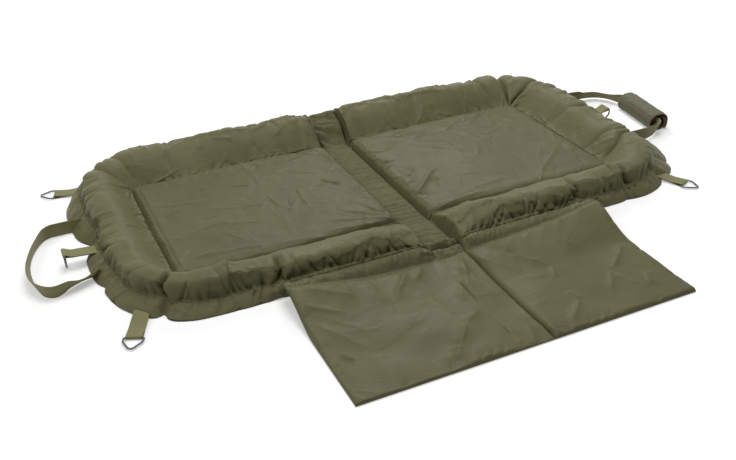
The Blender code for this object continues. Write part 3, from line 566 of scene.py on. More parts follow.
def plated_wire(name, colour):
    """Bent steel wire, plated dark: mirror-like with fine drawing marks and duller worn spots."""
    material, tree, shader, place = start_material(name, 0.3, metallic=1.0)
    wear = add_node(tree, "ShaderNodeTexNoise", {"Vector": place["Object"], "Scale": 300.0, "Detail": 4.0})
    base = add_node(tree, "ShaderNodeMix", {0: wear.outputs[0], 6: shade(colour, 0.75),
                                            7: shade(colour, 1.5)},
                    data_type="RGBA")
    tree.links.new(base.outputs[2], shader.inputs["Base Color"])
    dull = add_node(tree, "ShaderNodeMapRange", {"Value": wear.outputs[0], "To Min": 0.18, "To Max": 0.5})
    tree.links.new(dull.outputs[0], shader.inputs["Roughness"])
    return material


def sewing_thread(name, colour):
    """Bonded polyester thread: a slight shine and a fine twist."""
    material, tree, shader, place = start_material(name, 0.55)
    twist = add_node(tree, "ShaderNodeTexNoise", {"Vector": place["Object"], "Scale": 900.0})
    base = add_node(tree, "ShaderNodeMix", {0: twist.outputs[0], 6: shade(colour, 0.7),
                                            7: shade(colour, 1.3)},
                    data_type="RGBA")
    tree.links.new(base.outputs[2], shader.inputs["Base Color"])
    return material


def material_named(name):
    """The mat's material of that name, made when it is first asked for."""
    found = bpy.data.materials.get(name)
    if found is not None:
        return found
    tones = colours()
    # Each nylon part is the one cloth colour times a share, and the share is painted light or shade for that
    # part: lighter on the bolsters (1.14), the flap (1.03) and the rim (1.2), darker on the pads (0.93) and
    # the strip (0.94). Their roughness, crumples and weave are their own.
    makers = {
        "coated_nylon_painted_light_bolster": lambda: coated_nylon(name, shade(tones.nylon, 1.14)),
        "coated_nylon_painted_shade_pad": lambda: coated_nylon(name, shade(tones.nylon, 0.93), 0.4, 0.4),
        "coated_nylon_padded": lambda: coated_nylon(name, shade(tones.nylon, 1.03), 0.4, 0.4),
        "coated_nylon_painted_light_rim": lambda: coated_nylon(name, shade(tones.nylon, 1.2), 0.45, 0.8),
        "coarse_strip_cloth_painted_shade": lambda: coated_nylon(name, shade(tones.nylon, 0.94), 0.62, 0.9, 2.4),
        "coarse_coated_underside": lambda: coarse_cloth(name, tones.underside, 0.7, 1.8, 0.5),
        "ribbed_webbing": lambda: ribbed_webbing(name, tones.webbing),
        "padded_grip_cloth": lambda: coarse_cloth(name, tones.grip, 0.62, 1.2, 0.25),
        "edge_binding": lambda: ribbed_webbing(name, tones.binding),
        "hook_and_loop": lambda: coarse_cloth(name, tones.tape, 0.9, 1.5, 1.0),
        "dark_lining": lambda: coarse_cloth(name, tones.tape, 0.8, 1.0, 0.1),
        "plated_wire": lambda: plated_wire(name, tones.wire),
        "sewing_thread": lambda: sewing_thread(name, tones.thread),
    }
    return makers[name]()


# The run of a half: back side from the fold, round the end, and back to the fold along the front

HALF_WIDTH = WIDTH / 2
STRAIGHT = CORNER_X - CREASE_X
ARC = (SEAM_RADIUS + HALF_WIDTH) * math.pi / 2
END = 2 * CORNER_Y
RUN = 2 * STRAIGHT + 2 * ARC + END


def half_run(run):
    """Inner seam point, direction away from the pad and heading, at a distance along the run."""
    run = np.asarray(run, float)
    first = np.clip((run - STRAIGHT) / ARC, 0.0, 1.0)
    second = np.clip((run - STRAIGHT - ARC - END) / ARC, 0.0, 1.0)
    heading = (1 - first - second) * math.pi / 2
    x = CREASE_X + np.minimum(run, STRAIGHT) - np.clip(run - (RUN - STRAIGHT), 0.0, None)
    y = CORNER_Y - np.clip(run - STRAIGHT - ARC, 0.0, END)
    normal = np.stack((np.cos(heading), np.sin(heading)), axis=-1)
    seam = np.stack((x, y), axis=-1) + SEAM_RADIUS * normal
    return seam, normal, heading


def run_at(where, value):
    """Distance along the run of a place: an x on the back or front side, a y on the end, or
    degrees round a corner from its side to its end."""
    if where == "back":
        return value - CREASE_X
    if where == "front":
        return RUN - (value - CREASE_X)
    if where == "end":
        return STRAIGHT + ARC + CORNER_Y - value
    if where == "back_corner":
        return STRAIGHT + ARC * value / 90
    return RUN - STRAIGHT - ARC * value / 90


# Deep folds across each bolster: where, depth, width, and slant across it, in millimetres, and the share of
# its section, from the inner seam, where it begins
BOLSTER_FOLDS = {
    "left": (
        (("front_corner", 34), 20, 4.5, 6, 0.40), (("front_corner", 62), 4, 7, -14, 0.6),
        (("front", 0.318), 6, 6, -14, 0.6), (("front", 0.276), 18, 5, 6, 0.42),
        (("end", -0.092), 11, 5, 30, 0.58), (("end", -0.004), 13, 5, -26, 0.52),
        (("end", 0.090), 3, 8, 12, 0.6), (("back_corner", 50), 6, 9, 16, 0.2),
        (("back_corner", 18), 5, 9, -12, 0.1), (("back", 0.330), 4, 9, 16, 0.1),
        (("back", 0.060), 4, 9, 14, 0.1),
    ),
    "right": (
        (("front", 0.276), 16, 7, -5, 0.38), (("front", 0.325), 4, 9, 12, 0.5),
        (("front", 0.385), 15, 7, 8, 0.42), (("front_corner", 40), 5, 9, -12, 0.5),
        (("end", -0.128), 9, 7, 22, 0.0), (("end", -0.096), 4, 7, -16, 0.0),
        (("end", 0.030), 2, 12, -14, 0.0), (("back_corner", 66), 9, 8, -12, 0.0),
        (("back_corner", 20), 13, 7, 8, 0.0), (("back", 0.372), 8, 7, 5, 0.1),
        (("back", 0.200), 2, 10, -10, 0.1), (("front", 0.165), 3, 9, 8, 0.5),
    ),
}
# Flat facets with one crisp edge, from a slack fold: place of the edge, and height, length and slant in
# millimetres
BOLSTER_FACETS = {"left": ((("front", 0.352), 9, 30, 14),), "right": ((("front", 0.360), 4, 22, -10),)}


# Pinches of each rim: where, depth and width, in millimetres
RIM_PINCHES = {
    "left": (
        (("front_corner", 34), 16, 5), (("end", 0.002), 22, 9), (("end", -0.120), 9, 12),
        (("front", 0.275), 5, 12), (("back_corner", 50), 9, 14), (("back_corner", 15), 8, 10),
        (("end", 0.095), 7, 12), (("back", 0.200), 4, 16),
    ),
    "right": (
        (("front_corner", 45), 12, 10), (("end", -0.060), 9, 10), (("end", 0.020), 10, 12),
        (("end", 0.110), 9, 9), (("back_corner", 60), 18, 20), (("back_corner", 12), 12, 8),
        (("front", 0.378), 4, 9), (("front_corner", 75), 9, 9),
    ),
}


# Outline of each half: where, reach of the outer seam, its height, and reach of the edge on the ground,
# all in millimetres and the reaches from the inner seam
OUTLINE = {
    "left": (
        (("back", 0.03), 98, 30, 108), (("back", 0.30), 98, 31, 109), (("back_corner", 0), 97, 32, 111),
        (("back_corner", 45), 92, 31, 112), (("back_corner", 66), 93, 30, 113),
        (("end", 0.15), 94, 28, 121), (("end", 0.085), 93, 27, 124), (("end", 0.042), 93, 27, 117),
        (("end", 0.014), 86, 25, 98), (("end", -0.012), 92, 26, 115), (("end", -0.075), 92, 26, 117),
        (("end", -0.128), 82, 23, 110), (("front_corner", 66), 72, 21, 96),
        (("front_corner", 43), 69, 20, 93), (("front_corner", 14), 77, 18, 99),
        (("front", 0.388), 82, 17, 102), (("front", 0.33), 86, 17, 104), (("front", 0.297), 93, 20, 104),
        (("front", 0.27), 101, 25, 103), (("front", 0.12), 103, 26, 105), (("front", 0.03), 103, 25, 105),
    ),
    "right": (
        (("back", 0.03), 98, 30, 108), (("back", 0.30), 98, 31, 110), (("back_corner", 0), 99, 32, 116),
        (("back_corner", 45), 101, 32, 142), (("back_corner", 76), 102, 31, 154),
        (("end", 0.15), 103, 31, 157), (("end", 0.085), 103, 31, 156), (("end", 0.03), 103, 31, 150),
        (("end", -0.03), 102, 30, 144), (("end", -0.11), 99, 28, 151), (("end", -0.15), 96, 27, 146),
        (("front_corner", 68), 89, 23, 130), (("front_corner", 34), 84, 20, 107),
        (("front_corner", 6), 86, 19, 103), (("front", 0.36), 88, 18, 103),
        (("front", 0.297), 95, 21, 103), (("front", 0.27), 101, 26, 103), (("front", 0.12), 103, 26, 105),
        (("front", 0.03), 103, 25, 105),
    ),
}
EASE_OFFSETS = np.linspace(-14, 14, 9) * MM


def outline_at(side_name, run):
    """Reach and height of the outer seam and reach of the ground edge: straight between the places
    of the table, then averaged over 28 mm so that no corner shows."""
    table = OUTLINE[side_name]
    rows = np.array([(run_at(*where), *(length * MM for length in rest)) for where, *rest in table])
    spots = np.asarray(run)[..., None] + EASE_OFFSETS
    return [np.interp(spots, rows[:, 0], rows[:, k]).mean(axis=-1) for k in (1, 2, 3)]


# Full crest height by heading, from the front side over the end to the back, as shares of the tallest
CREST_HEADINGS = np.array((-90, -45, 0, 45, 90)) * DEG
CREST_SHARES = (0.89, 0.86, 0.92, 0.92, 0.99)
# Where a bolster laps over its pad's corner and rounds it: place, and overlap and spread along the run in
# millimetres
CORNER_OVERLAPS = {
    "left": ((("back_corner", 45), 5, 40), (("front_corner", 45), 6, 40)),
    "right": ((("back_corner", 45), 17, 42), (("front_corner", 45), 8, 42)),
}
# Powers that round a bolster's inner slope by heading, and its outer face
INNER_POWERS = (0.6, 0.7, 0.8, 0.75, 0.65)
OUTER_POWER = 0.55
CREST_SHIFT = 1.45
# Shares of its height that a bolster keeps at the fold
FRONT_LEAST, BACK_LEAST = 0.12, 0.74
# Stations along a bolster and columns over its top, and how far its section stays off its seams
STATION = 5 * MM
TOP_COLUMNS = 37
SEAM_INSET = 0.2 * MM
# Shares of the seams' heights down the two short walls under them
WALL_SHARES = np.array((0.66, 0.33, 0.0))


def crest_height(run, heading, x, low, seed):
    """Crest of a bolster over its seams: thin at the fold, full along the sides, lower at the corners."""
    front = heading < 0
    taper = np.where(front, sizes().taper_front, sizes().taper_back)
    least = np.where(front, FRONT_LEAST, BACK_LEAST)
    thin = least + (1 - least) * np.sin(np.clip((x - CREASE_X) / taper, 0, 1) * math.pi / 2) ** 0.9
    full = CREST * np.interp(heading, CREST_HEADINGS, CREST_SHARES) - 2 * MM
    uneven = swells(run, run * 0, 70, 1, 1.8, seed) + swells(run, run * 0, 25, 1, 1.0, seed + 3)
    return low + (full - low + uneven) * thin


def on_seam(seam, normal, reach, height):
    """Points at a reach from the inner seam, away from the pad, and at a height."""
    x, y = np.moveaxis(seam[:, None, :] + reach[..., None] * normal[:, None, :], -1, 0)
    return np.stack((x, y, height), axis=-1)


def bolster_grid(side_name, seed):
    """A bolster's closed section carried along its run, and a mask that is 0 where its cloth is held.

    Across the top, a goes from 0 at the inner seam to 1 at the outer. Its height over the line
    between the seams is sin(pi a^1.45), to a power from 0.6 to 0.8 before the crest and 0.55 beyond,
    so that the steeper outer face stands up and leans out. Short walls and a flat foot close it.
    """
    run = np.linspace(0, RUN, int(RUN / STATION) + 1)
    seam, normal, heading = half_run(run)
    width, seam_high, _ = outline_at(side_name, run)
    inner = sizes().inner_seam
    crest = crest_height(run, heading, seam[:, 0], (seam_high + inner) / 2, seed)
    width, seam_high, crest = width[:, None], seam_high[:, None], crest[:, None]
    across = (1 - np.cos(np.linspace(0, math.pi, TOP_COLUMNS))) / 2
    phase = math.pi * across ** CREST_SHIFT
    inner_power = np.interp(heading, CREST_HEADINGS, INNER_POWERS)[:, None]
    bow = np.sin(phase).clip(0, 1) ** np.where(phase < math.pi / 2, inner_power, OUTER_POWER)
    level = inner + (seam_high - inner) * across
    lean = np.sin(2 * np.clip(phase - math.pi / 2, 0, None)) * sizes().overhang * (crest / CREST)
    count = len(WALL_SHARES)
    foot = np.linspace(1, 0, 11)[1:-1]
    foot_share = np.concatenate((np.ones(count), foot, np.zeros(count)))
    share = np.concatenate((across, foot_share))
    reach = share * (width - 2 * SEAM_INSET) + SEAM_INSET
    reach[:, :TOP_COLUMNS] += lean
    drop = np.concatenate((WALL_SHARES, foot * 0, WALL_SHARES[::-1]))
    foot_high = drop * np.where(foot_share > 0.5, seam_high, inner) + PAD_LOW
    height = np.concatenate((level + (crest - level) * bow, foot_high), axis=1)
    for where, overlap, spread in CORNER_OVERLAPS[side_name]:
        reach -= overlap * MM * mound(run - run_at(*where), spread)[:, None] * (1 - share) ** 2
    free = np.append(np.sin(math.pi * across).clip(0, 1) ** 0.6, np.zeros(len(foot_share)))
    free = free * (margin(run, 20) * margin(RUN - run, 20))[:, None]
    return on_seam(seam, normal, reach, height), free


def close_at_fold(grid, x_of, reach):
    """Bring heights down to the crease line, as a quarter round over a length beside it."""
    ease = np.maximum(quarter_round((x_of - CREASE_X) / reach), LEAST_SHARE)
    return np.concatenate((grid[..., :2], CREASE_Z + (grid[..., 2:] - CREASE_Z) * ease[..., None]), axis=-1)


def mirrored(grid, side):
    """Points with their x times the side, which is -1 on the left."""
    return grid * np.array((side, 1.0, 1.0))


def push_out(grid, top, height):
    """Move a grid that is closed across along its normals, away from its inside, by a height field.

    The normals are the way along its rows crossed with the way along its columns.
    """
    normal = np.cross(np.gradient(grid, axis=0), np.roll(grid, -1, axis=1) - np.roll(grid, 1, axis=1))
    normal = normal / np.maximum(np.linalg.norm(normal, axis=2, keepdims=True), 1e-12)
    outward = np.sign(np.sum(normal[..., 2] * top))
    return grid + normal * outward * height[..., None]


SETTLED = {}
# Share of a height that is kept at the crease itself, and of the bolster's end that closes it at the back
LEAST_SHARE = 0.01
BACK_CLOSE = 0.45
# A pad's seam under its bolster's, its top under the solid's and its crown over that, and the width of the
# strip along its edges whose cloth doesn't settle, in millimetres
PAD_SEAM_DROP = 4
PAD_TOP_DROP = 3.5
PAD_CROWN = 3
PAD_HELD = 40


def settle_cloth():
    """Work out the coarse cloth forms together, so that one pass of simulation serves them all."""
    if not SETTLED:
        shapes = {}
        for side_name, _ in SIDES:
            name = "bolster_" + side_name
            grid, free = bolster_grid(side_name, SEEDS[name])
            close = sizes().bolster_end * np.where(grid[..., 1] > 0, BACK_CLOSE, 1.0)
            shapes[name] = close_at_fold(grid, grid[..., 0], close), True, free
            name = "pad_" + side_name
            grid, free = pad_grid(SEEDS[name])
            shapes[name] = grid, False, free
        SETTLED.update(zip(shapes, simulate(list(shapes.values()))))
    return SETTLED


def pad_margins(x, y):
    """Distances from a pad's end seam, from its side seams and from the fold."""
    return PANEL[1].x - x, PANEL[1].y - np.abs(y), x - CREASE_X


def pad_grid(seed):
    """A pad's top: level, crowned a little, rounded off at its seams and down to the crease."""
    x = np.linspace(CREASE_X, PANEL[1].x, 80)
    y = np.linspace(-PANEL[1].y, PANEL[1].y, 70)
    x, y = round_corners(*np.meshgrid(x, y, indexing="ij"))
    from_end, from_side, from_fold = pad_margins(x, y)
    rounding = quarter_round(from_end / sizes().pad_round) * quarter_round(from_side / sizes().pad_round)
    low = sizes().inner_seam - PAD_SEAM_DROP * MM
    middle = (PANEL[1].x + CREASE_X) / 2
    crown = (1 - ((x - middle) / (PANEL[1].x - middle)) ** 2) * (1 - (y / PANEL[1].y) ** 2)
    height = low + (PANEL[1].z - PAD_TOP_DROP * MM - low) * rounding + PAD_CROWN * MM * crown
    grid = close_at_fold(np.stack((x, y, height), axis=-1), x, sizes().fold_round)
    edge = np.minimum(from_end, from_side)
    grid[..., 2] += swells(x, y, 20, 20, 0.5, seed) * smooth(edge / (10 * MM))
    return grid, smooth(edge / (PAD_HELD * MM)) * smooth(from_fold / (PAD_HELD * MM))


def round_corners(x, y):
    """Turn a rectangle's far corners round: each corner square becomes a quarter disc."""
    u = np.clip((x - CORNER_X) / SEAM_RADIUS, 0, 1)
    v = np.clip((np.abs(y) - CORNER_Y) / SEAM_RADIUS, 0, 1)
    size = SEAM_RADIUS * np.maximum(u, v) / np.maximum(np.hypot(u, v), 1e-9)
    corner = (u > 0) & (v > 0)
    return (np.where(corner, CORNER_X + u * size, x),
            np.where(corner, np.sign(y) * (CORNER_Y + v * size), y))


# Sharp wrinkles on the pads, as start, end, height and width in millimetres, in each pad's own x and y
PAD_WRINKLES = {
    "left": (
        ((24, -172), (150, -118), 3.4, 7), ((24, -172), (118, -86), 2.6, 6),
        ((28, -168), (82, -66), 2.4, 6), ((36, -170), (178, -150), 2.4, 7),
        ((206, 161), (200, 28), 1.7, 3.5), ((146, 22), (150, -64), 1.4, 3.5),
        ((97, 32), (66, -12), -3.0, 4), ((52, 10), (118, 4), 1.8, 6), ((60, 60), (190, 96), 1.4, 10),
        ((240, -20), (400, -60), 1.2, 12), ((140, -168), (300, -140), 2.0, 10),
        ((300, 40), (404, 80), 1.4, 9), ((40, 150), (150, 110), 1.6, 8),
        ((250, -150), (398, -120), 2.2, 9),
    ),
    "right": (
        ((30, -98), (136, -22), 3.2, 5), ((28, -118), (108, -40), 3.2, 5), ((40, -80), (90, 20), 1.8, 7),
        ((60, -150), (230, -120), 2.0, 8), ((130, 52), (320, 20), 1.4, 10), ((40, 160), (200, 90), 1.8, 9),
        ((180, 150), (330, 60), 1.3, 10), ((250, -160), (400, -40), 1.8, 8),
        ((34, 60), (120, 110), 1.5, 7), ((36, -166), (160, -150), 2.2, 7),
    ),
}


# Depth in millimetres of the ticks that run from the fold into each pad
LEFT_FOLD_TICKS, RIGHT_FOLD_TICKS = 1.8, 4.0


def make_pad(side_name, side):
    """A quilted pad: its settled top with sharp wrinkles and puckers along its seams."""
    seed = SEEDS["pad_" + side_name]
    grid = settle_cloth()["pad_" + side_name]
    for _ in range(2):
        grid = refine(refine(grid, 0), 1)
    x, y = grid[..., 0], grid[..., 1]
    from_end, from_side, from_fold = pad_margins(x, y)
    edge = np.minimum(from_end, from_side)
    wobble = swells(x, y, 30, 30, 2.0, seed + 9)
    lift = swells(x, y, 75, 50, 1.5, seed) + swells(x, y, 16, 22, 0.4, seed + 1)
    lift += stray_creases(x, y, seed + 15, 60, PANEL[1].x, 60, 1.4, 4, 85)
    lift += wrinkles(x + wobble, y - wobble, PAD_WRINKLES[side_name], 1.4)
    # Puckers along the seams and the fold
    run = np.where(from_side < from_end, x, y)
    drift = edge * noise(run / (50 * MM), run * 0, seed)
    lift -= ruffles(run, 13, 1.6, seed + 4) * fading(edge, 7)
    lift -= ruffles(run + drift, 38, 1.1, seed + 6) * fading(edge, 16)
    lift -= ruffles(y, 17, 1.2, seed + 8) * fading(from_fold, 9)
    fold_ticks = RIGHT_FOLD_TICKS
    if side < 0:
        fold_ticks = LEFT_FOLD_TICKS
        # A second row of sewing beside the end seam leaves a narrow puckered tube
        along = smooth((160 * MM - np.abs(y)) / (20 * MM))
        tube = 0.8 * MM + ruffles(y + 1.6 * from_end, 8, 4.2, 201)
        lift += tube * mound(from_end - 8 * MM, 3.6) * along
        lift -= 3.0 * MM * fading(np.abs(from_end - 14 * MM), 1.3) * along
    lift += seam_ticks(y.T + 0.5, from_fold.T, seed + 19, 12, 40, fold_ticks, 2.6).T
    free = smooth(edge / (6 * MM)) * smooth(from_fold / (10 * MM))
    height = np.maximum(grid[..., 2] + lift * free, CREASE_Z * 0.9)
    piece = slab_piece("quilted_pad_" + side_name, mirrored(np.stack((x, y, height), axis=-1), side),
                       CREASE_FLOOR, "coated_nylon_painted_shade_pad")
    nodes = ("panel_cover_" + side_name, "panel_foam_" + side_name)
    return dress(piece, nodes, side_name + "_half")


def wall_piece(name, side_name, side, grid, run, material, nodes):
    """A bolster or a rim: it stays beyond the crease, and flattens where the mat is folded."""
    grid[..., 0] = np.maximum(grid[..., 0], CREASE_X)
    grid[..., 2] = np.maximum(grid[..., 2], CREASE_FLOOR)
    piece = grid_piece(name + side_name, mirrored(grid, side), run, material)
    dress(piece, [node + side_name for node in nodes], side_name + "_half")
    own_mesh(piece)
    return piece


# Length of a bolster's section over its top
TOP_ARC = 145 * MM


def make_bolster(side_name, side):
    """A stuffed bolster: its settled form with gathers that run up from both seams, and deep folds."""
    seed = SEEDS["bolster_" + side_name]
    grid = settle_cloth()["bolster_" + side_name]
    # Share across the section: 0 at the inner seam, 1 at the outer, and on to 2 round the foot
    share = np.append(np.linspace(0, 1, TOP_COLUMNS), np.linspace(1, 2, grid.shape[1] - TOP_COLUMNS + 1)[1:])
    share = np.append(refine(share, 0), 2.0)[None, :]
    run = refine(refine(np.linspace(0, RUN, len(grid)), 0), 0)
    grid = refine(refine(refine(grid, 0), 1, closed=True), 0)
    r = run[:, None]
    from_outer, from_inner = (1 - share) * TOP_ARC, share * TOP_ARC
    free = np.where(share <= 1, margin(from_outer, 7) * margin(from_inner, 9), 0.0)
    lean = r + 6 * MM * noise(share * 4, r / (50 * MM), seed + 1)
    uneven = 0.65 + 0.55 * noise(r / (60 * MM), r * 0, seed + 12)
    reach = 32 + 14 * noise(r / (30 * MM), r * 0, seed + 13)
    lift = ruffles(lean, 24, 4, seed + 3) * mound(from_outer, reach) * uneven
    lift += 2.5 * MM * noise(r / (55 * MM), share * 2, seed + 4)
    lift += seam_ticks(r, from_outer, seed + 2, 9.5, 56, 6.5, 2.6)
    lift += seam_ticks(r, from_inner, seed + 9, 13, 28, 3.4, 2.2)
    lift += stray_creases(r, np.clip(share, 0, 1) * TOP_ARC, seed + 14, 110, RUN, 48, 1.7, 3.6, 75)
    # Deep folds pressed in, each slanting across the bolster between two low swellings
    for where, depth, breadth, slant, begin in BOLSTER_FOLDS[side_name]:
        off = r - run_at(*where) + slant * MM * (2 * share - 1)
        off = np.abs(off + 5 * MM * noise(share * 5, float(depth), seed))
        swell = 0.08 * depth * mound(off - 2.4 * breadth * MM, 1.5 * breadth)
        lift += (swell - depth * fading(off, 0.7 * breadth)) * MM * smooth((share - begin) / 0.3)
    for where, height, length, slant in BOLSTER_FACETS[side_name]:
        off = r - run_at(*where) + 2 * slant * MM * (share - 0.7)
        facet = height * MM * fading(np.abs(off), length) * smooth(0.5 - off / (2 * MM))
        lift += facet * smooth((share - 0.4) / 0.2) * smooth((1 - share) / 0.2)
    lift += ruffles(lean, 11, 2.0, seed + 5) * fading(from_inner, 9)
    lift += ruffles(lean, 31, 2.2, seed + 6) * fading(from_inner, 22)
    lift += 0.9 * MM * noise(r / (22 * MM), share * 2.2 + r / (90 * MM), seed + 7)
    lift *= free * margin(r, 30) * margin(RUN - r, 30)
    grid = push_out(grid, share <= 1, lift - 2.4 * MM * free)
    nodes = ("bolster_cover_", "bolster_core_back_", "bolster_core_end_", "bolster_core_front_")
    return wall_piece("stuffed_bolster_", side_name, side, grid, run, "coated_nylon_painted_light_bolster", nodes)


def rim_pinch(side_name, run):
    """How far the rim's outer edge is drawn in at its folds: e to minus the 1.2th power of distance."""
    return sum(deep * MM * np.exp(-(np.abs(run - run_at(*where)) / (width * MM)) ** 1.2)
               for where, deep, width in RIM_PINCHES[side_name])


# Stations along a rim, columns down its slope and back under it, and its least depth where it is pinched
RIM_STATION = 1.9 * MM
RIM_COLUMNS, RIM_UNDER_COLUMNS = 26, 9
RIM_LEAST = 4 * MM


def make_rim(side_name, side):
    """The gathered rim: a soft slope from the outer seam out and down to the ground.

    Its section is part way from a straight line to a quarter round between the two.
    """
    seed = SEEDS["rim_" + side_name]
    run = np.linspace(0, RUN, int(RUN / RIM_STATION) + 1)
    seam, normal, _ = half_run(run)
    r = run[:, None]
    start, seam_high, ground = outline_at(side_name, r)
    start = start + 0.3 * MM
    depth = ground - start
    pinch = rim_pinch(side_name, r)
    depth = np.where(depth > 2 * RIM_LEAST, np.maximum(depth - pinch, RIM_LEAST), depth)
    turn = np.linspace(0, 1, RIM_COLUMNS)[None, :]
    arch = np.sin(turn * math.pi)
    body = arch ** 0.6
    soft = smooth((depth + RIM_LEAST) / (26 * MM))
    wander = 5 * MM * noise(turn * 3, r / (40 * MM), seed + 1)
    fold = ruffles(r + wander, 11, 4.2, seed + 2) * np.exp(-turn * 2.6)
    fold = fold + ruffles(r + 9 * MM * turn, 27, 4.4, seed + 3) + ruffles(r, 64, 2.5, seed + 4) - 3.6 * MM
    fold = fold * body * (0.45 + 0.55 * soft)
    fold += seam_ticks(r, turn * 26 * MM, seed + 9, 8.5, 34, 6.0, 2.8)
    outward = 0.35 * np.sin(turn * math.pi / 2) + 0.65 * turn
    downward = 0.45 * np.cos(turn * math.pi / 2) ** 0.8 + 0.55 * (1 - turn)
    reach = start + depth * outward + fold + 3.5 * MM * arch * (1 - soft)
    height = PAD_LOW + (seam_high - PAD_LOW) * downward
    height = height + (0.8 * MM * noise(r / (12 * MM), turn * 2, seed + 6) - pinch * 0.6) * body
    height += ruffles(r + 8 * MM * turn, 13, 2.6, seed + 8) * (1 - turn) ** 2
    crumple = np.abs(noise((r + 20 * MM * turn) / (10 * MM), turn * 3, seed + 11))
    height += fading(seam[:, :1] - CREASE_X, 30) * (9 * crumple - 3.5) * MM * body
    under = start + (reach[:, -1:] - start) * np.linspace(1, 0, RIM_UNDER_COLUMNS)[1:]
    reach = np.concatenate((reach, under), axis=1)
    height = np.concatenate((height, np.full_like(under, PAD_LOW)), axis=1)
    grid = close_at_fold(on_seam(seam, normal, reach, height), seam[:, :1], 12 * MM)
    return wall_piece("gathered_rim_", side_name, side, grid, run, "coated_nylon_painted_light_rim", ("rim_",))


def make_underside(side_name, side):
    """The coarse cloth beneath a half: one flat ply, cut to the ground edge of its rim."""
    run = np.linspace(0, RUN, 420)
    seam, normal, _ = half_run(run)
    start, _, ground = outline_at(side_name, run)
    ground = np.maximum(ground - rim_pinch(side_name, run), start + RIM_LEAST)
    edge = seam + normal * (ground - 1 * MM)[:, None]
    edge[:, 0] = np.maximum(edge[:, 0], CREASE_X + 0.3 * MM)
    x, y = edge.T
    count = len(edge)
    levels = (0.0, PAD_LOW - 0.1 * MM)
    vertices = np.concatenate([np.column_stack((x * side, y, np.full(count, z))) for z in levels])
    order = np.arange(count)
    onward = np.roll(order, -1)
    faces = [order.tolist(), (order + count).tolist()]
    faces += np.stack((order, onward, onward + count, order + count), axis=1).tolist()
    flat = np.concatenate([np.asarray(face) for face in faces])
    piece = finish_mesh("underside_" + side_name, vertices, faces, vertices[flat][:, :2],
                        "coarse_coated_underside", sharp=40 * DEG)
    dress(piece, ["base_sheet_" + side_name], None)
    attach(piece, side_name + "_half")
    return piece


LUMP_HEIGHT = 36 * MM


def make_fold_strip():
    """The strip across the fold: low between the pads, bunched up between the bolsters' ends."""
    high = PANEL[1].y + WIDTH + 3 * MM
    x, y = np.meshgrid(np.linspace(-CREASE_X, CREASE_X, 49), np.linspace(-high, high, 471), indexing="ij")
    side = CREASE_X - np.abs(x)
    ruck = ruffles(y + swells(x, y, 12, 20, 5, 3), 15, 2.2, 41)
    ruck += swells(x, y, 10, 13, 1.2, 43) + swells(x, y, 20, 30, 0.5, 47)
    height = CREASE_Z + 2.2 * MM * margin(side, 7) + ruck * smooth(side / (5 * MM))
    # The front end stays a low band up to a tight knot at the seam, the back end is one soft lump
    band = smooth((-y - 165 * MM) / (30 * MM)) * 3.5 * MM
    knot = mound(y + 268 * MM, 13) * 15 * MM * (1 - 0.4 * (x / CREASE_X) ** 2)
    lump = smooth((y - 166 * MM) / (60 * MM)) * LUMP_HEIGHT + mound(y - 250 * MM - 0.25 * x, 13) * 10 * MM
    slant = y + 0.45 * x + swells(x, y, 20, 30, 9, 53)
    folds = ruffles(slant, 26, 6, 59) + swells(x, y, 15, 18, 2.5, 61) + swells(x, y, 7, 8, 1.0, 67)
    crumple = np.abs(swells(x + 0.4 * y, y, 9, 8, 7, 71)) + np.abs(swells(x, y, 5, 5, 3.5, 73))
    folds -= (5.6 * MM - crumple) * mound(y + 266 * MM, 16)
    bulk = band + knot + lump * margin(side, 4.5)
    bulk += (folds - 4 * MM) * np.clip((knot + lump) / (14 * MM), 0, 1) * margin(side, 12)
    ends = margin(high - np.abs(y), 16)
    height = CREASE_Z + (height + bulk - CREASE_Z) * np.maximum(ends, 0.05)
    # The lump swells over both creases, up to the ends of the bolsters
    bulge = np.clip(lump * margin(side, 4.5) / LUMP_HEIGHT, 0, 1) * ends
    x = x + np.sign(x) * 7 * MM * bulge
    piece = slab_piece("fold_strip", np.stack((x, y, height), axis=-1), CREASE_FLOOR, "coarse_strip_cloth_painted_shade")
    dress(piece, ("spine_top", "spine_edge_front", "spine_edge_back"), "spine")
    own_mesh(piece)
    return piece


# The kneeling flap

FLAP_BACK_Y = FLAP[1].y
FLAP_FRONT_Y = FLAP[0].y
FLAP_HALF = FLAP[1].x
FRONT_SEAM_Y = -PANEL[1].y - WIDTH - 0.6 * MM
FRONT_SEAM_Z = 25 * MM
# Height of the flap's stitch line along x, in millimetres: it hangs low in the middle and is held up at its
# corners
STITCH_LINE = (
    (-283, 36), (-243, 30), (-190, 20), (-131, 14), (-58, 10), (0, 8), (32, 12), (83, 15), (137, 18),
    (211, 26), (283, 39),
)
STITCH_X, STITCH_Z = np.array(STITCH_LINE).T * MM
# The flap's left crease, the seam of its middle column, and how far forward its underside meets the ground
FAINT_CREASE = 6.4 * MM
MIDDLE_SEAM_Z = 9 * MM
BOARD_DROP = 105 * MM
# Stations across the flap, columns over its band and its board, and steps that round its front edge
FLAP_STATION = 1.9 * MM
BAND_COLUMNS, BOARD_COLUMNS = 14, 118
FLAP_EDGE_STEPS = np.array((5.0, 3.4, 2.1, 1.2, 0.5, 0.0)) * MM
